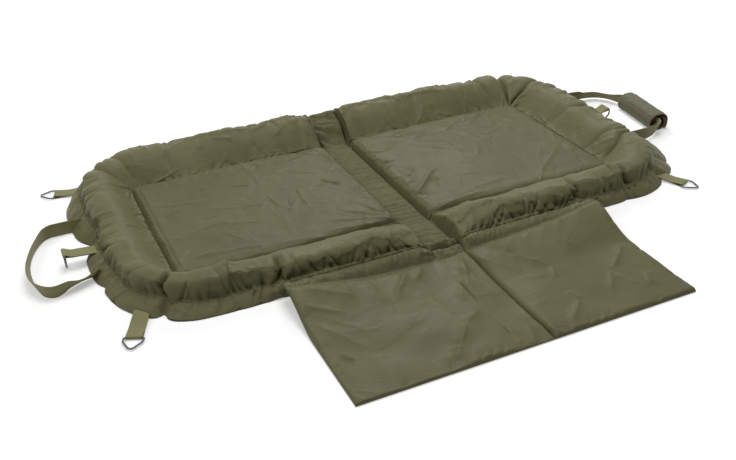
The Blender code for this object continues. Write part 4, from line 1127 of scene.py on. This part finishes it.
# Ridges as start, end, height and width in millimetres
FLAP_WRINKLES = (
    ((16, -298), (-10, -362), 2.6, 6), ((-8, -356), (-52, -420), 1.8, 8),
    ((-33, -446), (-76, -470), 2.0, 9), ((-70, -462), (-112, -510), 2.4, 8),
    ((-106, -500), (-126, -532), 2.0, 7), ((72, -345), (130, -400), 1.8, 5),
    ((127, -396), (108, -434), 1.4, 5), ((104, -466), (110, -492), 1.8, 4),
    ((110, -486), (64, -541), 2.4, 5), ((267, -393), (196, -450), 2.0, 7),
    ((200, -446), (160, -492), 1.8, 7), ((193, -458), (212, -496), 1.3, 4),
    ((252, -472), (227, -512), 1.6, 7), ((-271, -309), (-180, -345), 2.4, 11),
    ((-278, -340), (-215, -372), 2.0, 9), ((-274, -366), (-190, -500), 1.6, 11),
    ((-262, -443), (-250, -470), 2.2, 4), ((-90, -303), (-134, -376), 2.6, 9),
    ((-230, -470), (-100, -424), -2.6, 13), ((4, -298), (-30, -440), 1.6, 9),
    ((12, -298), (70, -400), 1.8, 9), ((-60, -300), (-90, -345), 2.0, 8), ((60, -300), (90, -350), 2.0, 8),
    ((150, -305), (190, -380), 1.6, 9), ((-160, -310), (-150, -380), 1.6, 9),
    ((20, -500), (36, -545), 2.0, 5), ((-4, -545), (10, -500), 1.4, 5),
)
# Short puckers along the turned edges: place on the edge, and its far end inside
EDGE_PUCKERS = (
    ((-139, -545), (-128, -520)), ((-92, -545), (-86, -521)), ((-76, -545), (-66, -528)),
    ((-58, -545), (-47, -526)), ((-30, -545), (-14, -530)), ((88, -545), (96, -528)),
    ((107, -545), (112, -526)), ((122, -545), (130, -530)), ((140, -545), (150, -536)),
    ((-210, -545), (-200, -528)), ((210, -545), (220, -533)), ((44, -545), (36, -518)),
    ((55, -545), (58, -520)), ((-283, -424), (-262, -418)), ((-283, -470), (-268, -462)),
    ((-283, -486), (-270, -480)), ((-283, -360), (-266, -358)), ((283, -420), (266, -424)),
    ((283, -350), (268, -346)), ((283, -500), (270, -492)),
)


def flap_detail(x, y):
    """Height of the flap's wrinkles and puckers."""
    lift = swells(x, y, 70, 50, 2.8, 67) + swells(x, y, 20, 20, 0.3, 71)
    lift += stray_creases(x, y, 93, 24, float(np.ptp(x)), 60, 0.8, 4, 85)
    wobble = swells(x, y, 35, 35, 3, 73)
    lift += wrinkles(x + wobble, y - wobble, FLAP_WRINKLES, 2.1)
    from_back = FLAP_BACK_Y - y
    lift -= ruffles(x, 13, 1.6, 79) * fading(from_back, 8)
    lift -= ruffles(x + from_back, 37, 2.4, 83) * fading(from_back, 26)
    for start, stop in np.array(EDGE_PUCKERS) * MM:
        lift -= 2.4 * MM * crease_near(x, y, start - 0.7 * (stop - start), stop, 3.4 * MM)
    return lift


def flap_thickness(x, forward, crisp, middle):
    """Thickness of the flap: thin at its creases, of which the right one is crisp and the left one faint."""
    crease, board = sizes().flap_crease, sizes().flap_thickness
    beside = np.abs(np.abs(x) - CREASE_X)
    if middle:
        full = crease + 1.8 * MM * smooth((CREASE_X - x) / (2 * CREASE_X))
    elif crisp:
        full = crease + (board - crease) * smooth((beside + 6 * MM) / (16 * MM))
    else:
        full = FAINT_CREASE + (board - FAINT_CREASE) * smooth(beside / (75 * MM))
    thin = np.where(x < 0, 6.1 * MM, 2.2 * MM)
    full = thin + (full - thin) * margin(beside, np.where(x < 0, 2, 4))
    at_stitches = np.minimum(full, 5 * MM)
    return at_stitches + (full - at_stitches) * smooth(forward / (16 * MM))


def ruched_band(x, y, beside, share, top, seam_high):
    """Height of the cloth that hinges the flap: a straight slope up to the seam, and gathers on it that
    swell as a half sine between the two and are drawn in at the stitches."""
    ruck = ruffles(x + 5 * MM * noise(share * 3, x / (20 * MM), 91), 11, 3.4, 97)
    ruck += ruffles(x - 6 * MM * share, 27, 3.2, 101) + 0.8 * MM * noise(x / (6 * MM), share * 3, 103)
    crumple = np.abs(noise((x + 0.6 * y) / (9 * MM), share * 3 + x / (30 * MM), 107)) - 0.35
    ruck += 8 * MM * crumple * fading(beside, 28) * margin(beside, 6)
    bulge = np.sin(share * math.pi) ** 0.7
    drawn_in = 0.9 * MM * np.exp(-share / 0.05)
    return top + (seam_high - top) * share + (ruck + 1.5 * MM) * bulge - drawn_in


def make_flap_column(name, low_x, high_x, nodes):
    """One column of the flap with the ruched cloth that hinges it to the mat.

    Its side view is a band from the outer seam down to the stitch line, and a board beyond it, whose
    underside drops to the ground as the board goes forward. Each edge is a quarter round.
    """
    middle = name.endswith("middle")
    x = np.linspace(low_x, high_x, int((high_x - low_x) / FLAP_STATION) + 2)
    band = np.linspace(FRONT_SEAM_Y, FLAP_BACK_Y, BAND_COLUMNS)
    edge = FLAP_FRONT_Y + FLAP_EDGE_STEPS
    y = np.concatenate((band, np.linspace(FLAP_BACK_Y, edge[0], BOARD_COLUMNS)[1:], edge[1:]))
    x, y = np.meshgrid(x, y, indexing="ij")
    beside = np.abs(np.abs(x) - CREASE_X)
    forward = np.clip(FLAP_BACK_Y - y, 0, None)
    from_side, from_front = FLAP_HALF - np.abs(x), y - FLAP_FRONT_Y
    under = np.clip(np.interp(x, STITCH_X, STITCH_Z) - 6 * MM, 0.3 * MM, None)
    under = under * (1 - smooth(forward / BOARD_DROP)) + 0.2 * MM
    thick = flap_thickness(x, forward, low_x > 0, middle)
    rounding = margin(from_side, 5) * margin(from_front, 5)
    detail = flap_detail(x, y) * smooth(np.minimum(from_side, from_front) / (4 * MM))
    detail = detail * smooth(forward / (5 * MM)) * (1 - 0.8 * fading(beside, 5))
    top = under + thick * (0.3 + 0.7 * rounding) + detail
    under = under + 1.5 * MM * (1 - rounding)
    # Share of the way from the stitch line up to the outer seam
    share = np.clip((y - FLAP_BACK_Y) / (FRONT_SEAM_Y - FLAP_BACK_Y), 0, 1)
    seam_high = MIDDLE_SEAM_Z if middle else CREASE_Z + (FRONT_SEAM_Z - CREASE_Z) * margin(beside, 24)
    top = np.where(share > 0, ruched_band(x, y, beside, share, top, seam_high), top)
    band_under = np.minimum(top - 1.6 * MM, under + (seam_high - 3 * MM - under) * share)
    under = np.clip(np.where(share > 0, band_under, under), 0.1 * MM, None)
    top = np.maximum(top, under + 1.2 * MM)
    grid = np.concatenate((np.stack((x, y, top), axis=-1), np.stack((x, y, under), axis=-1)[:, ::-1]), axis=1)
    piece = grid_piece(name, grid, x[:, 0], "coated_nylon_padded", sharp=75 * DEG)
    dress(piece, nodes, None)
    line = grid[2:-2, BAND_COLUMNS - 1] * (1, 0, 1) + (0, FLAP_BACK_Y, 0)
    thread = stitch_row(name.replace("pad", "stitching"), line, (0, -0.3, 1))
    for item in (piece, thread):
        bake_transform(item)
    return piece


# Thread, webbing and wire

def at_spacing(path, spacing):
    """Points at even distances along a path."""
    run = distances(path)
    spots = np.linspace(0, run[-1], max(int(run[-1] / spacing), 1) + 1)
    return np.stack([np.interp(spots, run, path[:, k]) for k in range(path.shape[1])], axis=1)


# Share of a stitch that is thread, and shares of its length with their shares of the thread's thickness
STITCH_SHARE = 0.8
STITCH_SHARES = np.array((0.0, 0.2, 0.8, 1.0))
STITCH_GIRTHS = np.array((0.25, 1.0, 1.0, 0.25))


def stitch_row(name, path, up):
    """A row of stitches: short beads of thread, each a stretched six-sided spindle along the path."""
    spots = at_spacing(path, sizes().stitch)
    starts = spots[:-1]
    along = (spots[1:] - starts) * STITCH_SHARE
    side = unit(np.cross(unit(along), np.array(up, float)))
    rise = np.cross(side, unit(along))
    ring = np.linspace(0, 2 * math.pi, 7)[:-1]
    girths = STITCH_GIRTHS * sizes().thread / 2
    vertices = (starts[:, None, None] + along[:, None, None] * (STITCH_SHARES[:, None, None] + 0.125)
                + (girths[:, None] * np.cos(ring))[..., None] * side[:, None, None]
                + (girths[:, None] * np.sin(ring))[..., None] * rise[:, None, None])
    faces, _ = grid_faces(len(girths), len(ring), True)
    count = len(girths) * len(ring)
    faces = faces.tolist() + [list(range(len(ring))), list(range(count - len(ring), count))]
    every = [[k * count + index for index in face] for k in range(len(starts)) for face in faces]
    flat = np.concatenate([np.asarray(face) for face in every])
    points = vertices.reshape(-1, 3)
    piece = finish_mesh(name, points, every, points[flat][:, :2], "sewing_thread")
    return piece


def strap_section(width, thickness):
    """A flat strap's section as across and through: a rectangle with rounded edges."""
    turn = np.linspace(0, 2 * math.pi, 25)[:-1] + math.pi / 24
    reach = width / 2 - thickness / 2
    across = np.cos(turn)
    across = np.sign(across) * np.abs(across) ** 0.25 * reach + np.cos(turn) * thickness / 2
    return across, np.sign(np.sin(turn)) * np.abs(np.sin(turn)) ** 0.6 * thickness / 2


def carried(path, wide, high, section):
    """A section carried along a path: its two rows of lengths run along two directions at each point."""
    across, through = section
    return path[:, None] + across[:, None] * wide[:, None] + through[:, None] * high[:, None]


def strap_piece(name, path, lie, width, thickness):
    """A strap along a path. Lie gives the direction of its width at each point."""
    ahead = unit(np.gradient(path, axis=0))
    lie = unit(lie - np.sum(lie * ahead, axis=1, keepdims=True) * ahead)
    grid = carried(path, lie, np.cross(ahead, lie), strap_section(width, thickness))
    return grid_piece(name, grid, distances(path), "ribbed_webbing", sharp=50 * DEG)


def loop_piece(name, line, rise, section, material):
    """A tube round a closed line, kept off the ground. Rise gives the direction of its height."""
    rise = np.broadcast_to(rise, line.shape)
    ahead = unit(np.roll(line, -1, axis=0) - np.roll(line, 1, axis=0))
    grid = carried(line, np.cross(ahead, rise), rise, section)
    grid[..., 2] = np.maximum(grid[..., 2], OFF_GROUND)
    along = distances(np.concatenate((line, line[:1])))
    return grid_piece(name, np.concatenate((grid, grid[:1])), along, material, caps=False)


def oval(half_width, half_height):
    """A tube's section: an ellipse of 16 points."""
    turn = np.linspace(0, 2 * math.pi, 17)[:-1]
    return np.cos(turn) * half_width, np.sin(turn) * half_height


# Routes of the handle loops, from the back anchor to the front one, as x beyond the pivot and y, in
# millimetres, and the lean of the webbing off upright, outwards, in degrees
LOOPS = {
    "left": (
        (-46, 79, 0), (-22, 79, 0), (0, 79, 0), (9, 78, -2), (22, 69, -6), (35, 46, -12), (46, 18, -10),
        (54, -14, -1), (57, -44, 13), (55, -74, 22), (46, -101, 12), (32, -114, 12), (19, -113, 15),
        (8, -107, 24), (-4, -101, 44), (-22, -93, 50), (-46, -86, 30),
    ),
    "right": (
        (-46, 138, 0), (-22, 138, -4), (0, 138, -14), (7, 138, -24), (16, 137, -34), (41, 132, -38),
        (61, 115, -44), (71, 91, -34), (77, 66, 0), (74, 40, 0), (70, 14, 0), (66, -12, 0), (62, -38, 0),
        (59, -56, 4), (56, -66, 14), (48, -74, 20), (38, -79, 14), (27, -83, 6), (16, -85, 0), (7, -87, 0),
        (0, -87, 0), (-22, -87, 0), (-46, -87, 0),
    ),
}


def make_handle(side_name, side):
    """A webbing loop on edge, sewn to the mat at both ends, which leans and twists along its way."""
    joint = JOINTS["handle_%s_swing" % side_name]["pos_m"]
    rows = np.array(LOOPS[side_name], float)
    for _ in range(3):
        rows = refine(rows, 0)
    rows = at_spacing(rows, 3.0)
    lean = rows[:, 2] * DEG
    width, thick = sizes().webbing_width, sizes().webbing_thickness
    high = joint[2] - width / 2 * (1 - np.cos(lean)) + 0.6 * thick * np.abs(np.sin(lean))
    path = np.stack((side * (abs(joint[0]) + rows[:, 0] * MM), rows[:, 1] * MM, high), axis=-1)
    out = np.cross(unit(np.gradient(path, axis=0)), UP) * -side
    lie = UP * np.cos(lean)[:, None] + out * np.sin(lean)[:, None]
    piece = strap_piece("handle_webbing_" + side_name, path, lie, width, thick)
    nodes = ("handle_strap_%s", "handle_anchor_%s_back", "handle_anchor_%s_front")
    dress(piece, [node % side_name for node in nodes], None)
    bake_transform(piece)
    return piece


# The padded grip round the right handle. Its section is measured from the way towards the mat, turning up

GRIP_TILT = 8 * DEG
GRIP_HALF_LENGTH = 59 * MM
GRIP_WALL = 2.4 * MM
GRIP_HINGE_ANGLE = 34 * DEG
GRIP_CLEAR_ANGLE = 112 * DEG
GRIP_HALVES = (19 * MM, 15.9 * MM)
GRIP_RADIUS = 17 * MM
TROUGH_ANGLES = (GRIP_HINGE_ANGLE - 0.5 * MM / GRIP_HALVES[1], 150 * DEG - 2 * math.pi)
COVER_ANGLES = (GRIP_HINGE_ANGLE, 214 * DEG)
TAPE_ANGLES = (158 * DEG, 206 * DEG)
TAPE_LAYER = 0.8 * MM
TAPE_HALF_LENGTH = GRIP_HALF_LENGTH - 6 * MM
LAP = 2.5 * MM
LOOP_LIFT = 0.3 * MM
HOOK_LIFT = 0.6 * MM + TAPE_LAYER
HINGE_LIFT = 0.3 * MM
OFF_GROUND = 0.2 * MM
# Each sheet's node, body, first and last angle, lift of its inner face at the hinge and past the clear
# angle, thickness, puff of its padding and seed
GRIP_SHEETS = {
    "grip_sleeve": ("grip_trough", "handle_right", TROUGH_ANGLES, (-GRIP_WALL, -GRIP_WALL), GRIP_WALL,
                    0.2 * MM, 111),
    "grip_wrap": ("grip_cover", "grip_flap", COVER_ANGLES, (-GRIP_WALL, LAP), GRIP_WALL, 1.1 * MM, 113),
    "loop_strip": ("loop_tape", "handle_right", TAPE_ANGLES, (LOOP_LIFT, LOOP_LIFT), TAPE_LAYER, 0, 117),
    "hook_strip": ("hook_tape", "grip_flap", TAPE_ANGLES, (HOOK_LIFT, HOOK_LIFT), TAPE_LAYER, 0, 119),
}


def grip_section(angle, lift):
    """The grip's section: half sizes and lift times cosine and sine to the power 0.8, with their signs."""
    return [(half + lift) * np.sign(part) * np.abs(part) ** 0.8
            for half, part in zip(GRIP_HALVES, (np.cos(angle), np.sin(angle)))]


def grip_place(angle, along, lift):
    """Points on the grip, whose hinge stands on the section at its own angle."""
    inwards = np.array((-math.cos(GRIP_TILT), math.sin(GRIP_TILT), 0.0))
    lengthways = np.array((math.sin(GRIP_TILT), math.cos(GRIP_TILT), 0.0))
    foot = grip_section(GRIP_HINGE_ANGLE, HINGE_LIFT)
    centre = np.array(JOINTS["grip_flap_hinge"]["pos_m"]) - inwards * foot[0] - UP * foot[1]
    across, high = (part[..., None] for part in grip_section(angle, lift))
    return centre + across * inwards + high * UP + along[..., None] * lengthways


def sheet_lift(angle, low, high):
    """A lift off the section that eases from one value at the hinge to the other at the clear angle."""
    return low + (high - low) * smooth((angle - GRIP_HINGE_ANGLE) / (GRIP_CLEAR_ANGLE - GRIP_HINGE_ANGLE))


def make_grip_sheet(name, node, body, angles, lifts, thickness, puff, seed):
    """A padded curved sheet of the grip: an outer and an inner face joined by rounded edges."""
    start, stop = angles
    angle = start + (stop - start) * (0.5 - 0.5 * np.cos(np.linspace(0, 1, 61) * math.pi))
    half = GRIP_HALF_LENGTH if puff else TAPE_HALF_LENGTH
    angle, along = np.meshgrid(angle, np.linspace(-half, half, 90), indexing="ij")
    from_end = half - np.abs(along)
    from_edge = np.minimum(np.abs(angle - start), np.abs(angle - stop)) * GRIP_RADIUS
    edge = margin(from_end, 3) * margin(from_edge, 3)
    inner = sheet_lift(angle, *lifts)
    outer = inner + thickness
    middle = (outer + inner) / 2
    outer = middle + (outer - middle) * (0.35 + 0.65 * edge)
    inner = middle + (inner - middle) * (0.35 + 0.65 * edge)
    if puff:
        crumple = 0.5 * MM * noise(angle * 3, along / (12 * MM), seed)
        crumple = (crumple + 0.25 * MM * noise(angle * 8, along / (5 * MM), seed + 1)) * edge
        outer = outer + puff * margin(from_end, 12) * margin(from_edge, 10) + crumple
        inner = inner + 0.3 * crumple
    top, low = grip_place(angle, along, outer), grip_place(angle, along, inner)
    grid = np.concatenate((top, low[:, ::-1]), axis=1)
    grid[..., 2] = np.maximum(grid[..., 2], OFF_GROUND)
    piece = grid_piece(name, grid, distances(grid[:, 45]), "padded_grip_cloth" if puff else "hook_and_loop",
                       sharp=60 * DEG)
    if not puff:
        return dress(piece, (node,), body)
    # The inner face is lining
    piece.data.materials.append(material_named("dark_lining"))
    column = np.arange((len(grid) - 1) * grid.shape[1]) % grid.shape[1]
    index = np.zeros(len(piece.data.polygons), np.int32)
    index[:len(column)] = column >= top.shape[1] - 1
    piece.data.polygons.foreach_set("material_index", index)
    return dress(piece, (node,), body)


def make_binding(name, body, angles, lifts):
    """Tape folded over the edges of a grip sheet: a flat tube round its four sides."""
    start, stop = angles
    ends = np.linspace(start, stop, 60)
    sides = np.linspace(-GRIP_HALF_LENGTH, GRIP_HALF_LENGTH, 50)
    angle = np.concatenate((ends, np.full(50, stop), ends[::-1], np.full(50, start)))
    along = np.concatenate((np.full(60, sides[-1]), sides[::-1], np.full(60, sides[0]), sides))
    # Round the corners by averaging each point with its neighbours
    for _ in range(4):
        angle, along = ((np.roll(line, 1) + 2 * line + np.roll(line, -1)) / 4 for line in (angle, along))
    lift = sheet_lift(angle, *lifts) + GRIP_WALL / 2
    centre = grip_place(angle, along, lift)
    rise = unit(grip_place(angle, along, lift + 1 * MM) - centre)
    piece = loop_piece(name, centre, rise, oval(3.4 * MM, 1.9 * MM), "edge_binding")
    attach(piece, body)
    return piece


# Tabs and rings: the corner tabs lie on the ground, the end tabs hang from the rim

WIRE_RADIUS = 1.5 * MM
EYE_RADIUS = WIRE_RADIUS + 0.35 * MM
TAB_PLY = 1.2 * MM
RING_LENGTH = 26 * MM
# Each tab's root in the seam and the stem before its ring, outwards and up from the bar, in millimetres
TAB_LINES = {
    "front": ((-62.0, 3.2), (-22.0, 0.4)),
    "back": ((-44.0, 3.2), (-22.0, 0.4)),
    "end": ((-62.0, -8.0), (-12.0, -4.0)),
}
# Each ring's side and front or back of the mat, and its heading off the mat's length in degrees
RINGS = {
    "front_left": (-1, -1, 66), "back_left": (-1, 1, 16), "end_left": (-1, 0, 0),
    "front_right": (1, -1, 66), "back_right": (1, 1, 16), "end_right": (1, 0, 0),
}


def ring_frame(name):
    """Where a ring's bar lies, which way its tab points, and across it."""
    side, front, heading = RINGS[name]
    spot = np.array(JOINTS["ring_%s_swing" % name]["pos_m"])
    out = np.array((side * math.cos(heading * DEG), front * math.sin(heading * DEG), 0.0))
    return spot, out, np.cross(out, UP)


def make_tab(name):
    """A folded webbing tab: one ply runs out under the ring's bar, round it and back on top."""
    spot, out, across = ring_frame(name)
    radius = EYE_RADIUS + TAB_PLY / 2
    root, stem = np.array(TAB_LINES[name.split("_")[0]]) * MM
    aim = math.atan2(-stem[1], -stem[0]) if name.startswith("end") else 0.0
    turn = np.linspace(-100 * DEG, 100 * DEG, 25) + aim
    bend = radius * np.stack((np.cos(turn), np.sin(turn)), axis=1)
    shift = TAB_PLY / 2 * 1.04 * np.array((-math.sin(aim), math.cos(aim)))
    rise = np.array((0, TAB_PLY * 0.52))
    line = np.concatenate(((root - rise, stem - shift), bend, (stem + shift, root + rise)))
    line = at_spacing(line, 0.8 * MM)
    for _ in range(3):
        line[1:-1] = (line[:-2] + 2 * line[1:-1] + line[2:]) / 4
    path = spot + line[:, :1] * out + line[:, 1:] * UP
    path[:, 2] = np.maximum(path[:, 2], TAB_PLY / 2 + 0.1 * MM)
    lie = np.broadcast_to(across, path.shape)
    piece = strap_piece("tab_loop_" + name, path, lie, sizes().webbing_width, TAB_PLY)
    return dress(piece, ("tab_" + name,), name.split("_")[1] + "_half")


def make_ring(name):
    """A bent wire ring: a straight bar in the tab, two sides that widen to shoulders and a blunt nose.

    Each corner is bent by a quadratic curve between points 4 mm before and after it.
    """
    spot, out, across = ring_frame(name)
    half = sizes().webbing_width / 2 + 0.8 * MM + WIRE_RADIUS
    shoulder, nose = RING_LENGTH * 0.36, half * 0.2
    corners = np.array(((0, -half), (0, half), (shoulder, half), (RING_LENGTH, nose), (RING_LENGTH, -nose),
                        (shoulder, -half)))
    bends = []
    for other in (np.roll(corners, 1, axis=0), np.roll(corners, -1, axis=0)):
        reach = np.minimum(4 * MM / np.linalg.norm(other - corners, axis=1, keepdims=True), 0.5)
        bends.append((corners + (other - corners) * reach)[:, None])
    share = np.linspace(0, 1, 9)[None, :, None]
    bend = bends[0] * (1 - share) ** 2 + 2 * corners[:, None] * share * (1 - share) + bends[1] * share ** 2
    line = bend.reshape(-1, 2)
    line = np.concatenate((line, line[:1]))
    away = -UP if name.startswith("end") else out
    path = at_spacing(spot + line[:, :1] * away + line[:, 1:] * across, 0.9 * MM)
    piece = loop_piece("wire_ring_" + name, path[:-1], np.cross(away, across), oval(WIRE_RADIUS, WIRE_RADIUS),
                       "plated_wire")
    return dress(piece, ("ring_" + name,), "ring_" + name)


# Operators

def each_side(make):
    """Make the left and the right piece of a kind."""
    for side_name, side in SIDES:
        make(side_name, side)
    return {"FINISHED"}


class MAT_OT_pads(bpy.types.Operator):
    """Make the two quilted pads that the fish lies on."""

    bl_idname = "mat.pads"
    bl_label = "Quilted Pads"

    def execute(self, context):
        return each_side(make_pad)


class MAT_OT_bolsters(bpy.types.Operator):
    """Make the stuffed wall round each half."""

    bl_idname = "mat.bolsters"
    bl_label = "Stuffed Bolsters"

    def execute(self, context):
        return each_side(make_bolster)


class MAT_OT_rims(bpy.types.Operator):
    """Make the gathered rim outside each bolster."""

    bl_idname = "mat.rims"
    bl_label = "Gathered Rims"

    def execute(self, context):
        return each_side(make_rim)


class MAT_OT_fold_strip(bpy.types.Operator):
    """Make the low strip across the fold."""

    bl_idname = "mat.fold_strip"
    bl_label = "Fold Strip"

    def execute(self, context):
        make_fold_strip()
        return {"FINISHED"}


class MAT_OT_flap(bpy.types.Operator):
    """Make the kneeling flap in three columns, each with the cloth that hinges it."""

    bl_idname = "mat.flap"
    bl_label = "Kneeling Flap"

    def execute(self, context):
        board = ("flap_top_%s", "flap_foam_%s", "flap_bottom_%s", "flap_hinge_%s")
        make_flap_column("flap_pad_left", -FLAP_HALF, -CREASE_X,
                         [node % "left" for node in board])
        make_flap_column("flap_pad_middle", -CREASE_X, CREASE_X,
                         ("flap_strip", "flap_hinge_middle"))
        make_flap_column("flap_pad_right", CREASE_X, FLAP_HALF,
                         [node % "right" for node in board])
        return {"FINISHED"}


class MAT_OT_handles(bpy.types.Operator):
    """Make the two webbing handle loops."""

    bl_idname = "mat.handles"
    bl_label = "Webbing Handles"

    def execute(self, context):
        return each_side(make_handle)


class MAT_OT_grip(bpy.types.Operator):
    """Make the padded grip: a trough, a cover that laps over it, their bindings and tapes."""

    bl_idname = "mat.grip"
    bl_label = "Padded Grip"

    def execute(self, context):
        for name, sheet in GRIP_SHEETS.items():
            make_grip_sheet(name, *sheet)
        for name in ("grip_sleeve", "grip_wrap"):
            _, body, angles, lifts, *_ = GRIP_SHEETS[name]
            make_binding(name + "_binding", body, angles, lifts)
        return {"FINISHED"}


class MAT_OT_tabs(bpy.types.Operator):
    """Make the six webbing tabs and their wire rings."""

    bl_idname = "mat.tabs"
    bl_label = "Tabs and Rings"

    def execute(self, context):
        for name in RINGS:
            make_tab(name)
            make_ring(name)
        return {"FINISHED"}


class MAT_OT_underside(bpy.types.Operator):
    """Make the coarse coated cloth beneath each half and give the strip between them the same."""

    bl_idname = "mat.underside"
    bl_label = "Undersides"

    def execute(self, context):
        each_side(make_underside)
        cloth = material_named("coarse_coated_underside")
        frame["nodes"]["spine_base"].data.materials.clear()
        frame["nodes"]["spine_base"].data.materials.append(cloth)
        return {"FINISHED"}


# The camera as fitted to the photograph: its angles, its place and its focal length
CAMERA_YAW = 0.425
CAMERA_PITCH = 0.538
CAMERA_ROLL = 0.0286
CAMERA_PLACE = (-0.6152, -1.3334, 0.776)
FOCAL_PIXELS = 881.4
IMAGE_WIDTH = 736
SENSOR_WIDTH = 36.0


class MAT_OT_stage(bpy.types.Operator):
    """Make the floor, the lamps, the world and the camera."""

    bl_idname = "mat.stage"
    bl_label = "Stage"

    def execute(self, context):
        scene = context.scene
        make_floor()
        make_world(scene)
        make_lamp("overhead_softbox", (0.2, 0.1, 2.4), 1.4, 31)
        make_lamp("back_softbox", (0.7, 1.35, 1.35), 0.6, 10)
        make_lamp("fill_softbox", (-2.0, 0.1, 1.8), 1.4, 15)
        make_camera(scene)
        scene.view_settings.view_transform = "Standard"
        return {"FINISHED"}


def make_floor():
    """A white floor that shows as white and keeps the mat's shadow."""
    mesh = bpy.data.meshes.new("floor")
    builder = bmesh.new()
    bmesh.ops.create_grid(builder, x_segments=1, y_segments=1, size=12)
    builder.to_mesh(mesh)
    builder.free()
    floor = bpy.data.objects.new("floor", mesh)
    bpy.context.scene.collection.objects.link(floor)
    material = bpy.data.materials.new("white_paper_sweep")
    material.use_nodes = True
    tree = material.node_tree
    tree.nodes.clear()
    path = add_node(tree, "ShaderNodeLightPath").outputs
    seen = add_node(tree, "ShaderNodeMath", {0: path["Is Camera Ray"], 1: path["Is Glossy Ray"]},
                    operation="MAXIMUM")
    paper = add_node(tree, "ShaderNodeBsdfDiffuse", {"Color": (0.88, 0.88, 0.88, 1.0)})
    # Close to the mat the glow is low, so that the shadow shows
    place = add_node(tree, "ShaderNodeTexCoord")
    wide = add_node(tree, "ShaderNodeVectorMath", {0: place.outputs["Object"], 1: (1.0, 1.5, 0.0)},
                    operation="MULTIPLY")
    away = add_node(tree, "ShaderNodeVectorMath", {0: wide.outputs[0]}, operation="LENGTH")
    rise = add_node(tree, "ShaderNodeMapRange", {"Value": away.outputs["Value"], "From Min": 0.65,
                                                 "From Max": 1.2, "To Min": 0.34, "To Max": 1.0},
                    interpolation_type="SMOOTHSTEP")
    glow = add_node(tree, "ShaderNodeEmission", {"Color": (1, 1, 1, 1), "Strength": rise.outputs[0]})
    lit = add_node(tree, "ShaderNodeAddShader", {0: paper.outputs[0], 1: glow.outputs[0]})
    mix = add_node(tree, "ShaderNodeMixShader", {0: seen.outputs[0], 1: paper.outputs[0], 2: lit.outputs[0]})
    add_node(tree, "ShaderNodeOutputMaterial", {"Surface": mix.outputs[0]})
    mesh.materials.append(material)


def make_world(scene):
    """Even studio light from all round, which the camera sees as white."""
    world = bpy.data.worlds.new("studio")
    world.use_nodes = True
    tree = world.node_tree
    tree.nodes.clear()
    path = add_node(tree, "ShaderNodeLightPath").outputs
    seen = add_node(tree, "ShaderNodeMath", {0: path["Is Camera Ray"], 1: path["Is Glossy Ray"]},
                    operation="MAXIMUM")
    through = add_node(tree, "ShaderNodeMath", {0: seen.outputs[0], 1: path["Is Transmission Ray"]},
                       operation="MAXIMUM")
    strength = add_node(tree, "ShaderNodeMapRange", {"Value": through.outputs[0], "To Min": 0.13,
                                                     "To Max": 1.0})
    background = add_node(tree, "ShaderNodeBackground", {"Color": (1, 1, 1, 1),
                                                         "Strength": strength.outputs[0]})
    add_node(tree, "ShaderNodeOutputWorld", {"Surface": background.outputs[0]})
    scene.world = world


def make_lamp(name, place, size, power):
    """A square softbox that looks at the mat's middle."""
    lamp = bpy.data.lights.new(name, "AREA")
    lamp.size = size
    lamp.energy = power
    item = bpy.data.objects.new(name, lamp)
    item.location = place
    item.rotation_mode = "QUATERNION"
    item.rotation_quaternion = (-Vector(place)).to_track_quat("-Z", "Y")
    bpy.context.scene.collection.objects.link(item)


def make_camera(scene):
    """A camera from its yaw, pitch and roll: right, up and back are the columns of its turn."""
    ahead = math.cos(CAMERA_PITCH)
    forward = Vector((math.sin(CAMERA_YAW) * ahead, math.cos(CAMERA_YAW) * ahead, -math.sin(CAMERA_PITCH)))
    level = Vector((math.cos(CAMERA_YAW), -math.sin(CAMERA_YAW), 0.0))
    down = forward.cross(level)
    right = level * math.cos(CAMERA_ROLL) + down * math.sin(CAMERA_ROLL)
    down = down * math.cos(CAMERA_ROLL) - level * math.sin(CAMERA_ROLL)
    camera = bpy.data.cameras.new("camera")
    camera.sensor_width = SENSOR_WIDTH
    camera.lens = FOCAL_PIXELS * SENSOR_WIDTH / IMAGE_WIDTH
    item = bpy.data.objects.new("camera", camera)
    turn = Matrix((right, -down, -forward)).transposed().to_4x4()
    item.matrix_world = Matrix.Translation(CAMERA_PLACE) @ turn
    scene.collection.objects.link(item)
    scene.camera = item


OPERATORS = (MAT_OT_stage, MAT_OT_pads, MAT_OT_bolsters, MAT_OT_rims, MAT_OT_fold_strip, MAT_OT_flap,
             MAT_OT_handles, MAT_OT_grip, MAT_OT_tabs, MAT_OT_underside)


class MAT_PT_panel(bpy.types.Panel):
    """Lists the mat's pieces, sizes and colours."""

    bl_label = "Unhooking Mat"
    bl_idname = "MAT_PT_panel"
    bl_space_type = "VIEW_3D"
    bl_region_type = "UI"
    bl_category = "Mat"

    def draw(self, context):
        for operator in OPERATORS:
            self.layout.operator(operator.bl_idname)
        for group in (context.scene.mat_sizes, context.scene.mat_colours):
            column = self.layout.column()
            for name in group.__annotations__:
                column.prop(group, name)


CLASSES = (MatSizes, MatColours, *OPERATORS, MAT_PT_panel)


def register():
    for item in CLASSES:
        bpy.utils.register_class(item)
    bpy.types.Scene.mat_sizes = bpy.props.PointerProperty(type=MatSizes)
    bpy.types.Scene.mat_colours = bpy.props.PointerProperty(type=MatColours)


def unregister():
    del bpy.types.Scene.mat_colours
    del bpy.types.Scene.mat_sizes
    for item in reversed(CLASSES):
        bpy.utils.unregister_class(item)


def main():
    register()
    for operator in OPERATORS:
        family, name = operator.bl_idname.split(".")
        getattr(getattr(bpy.ops, family), name)()


if __name__ == "__main__":
    main()
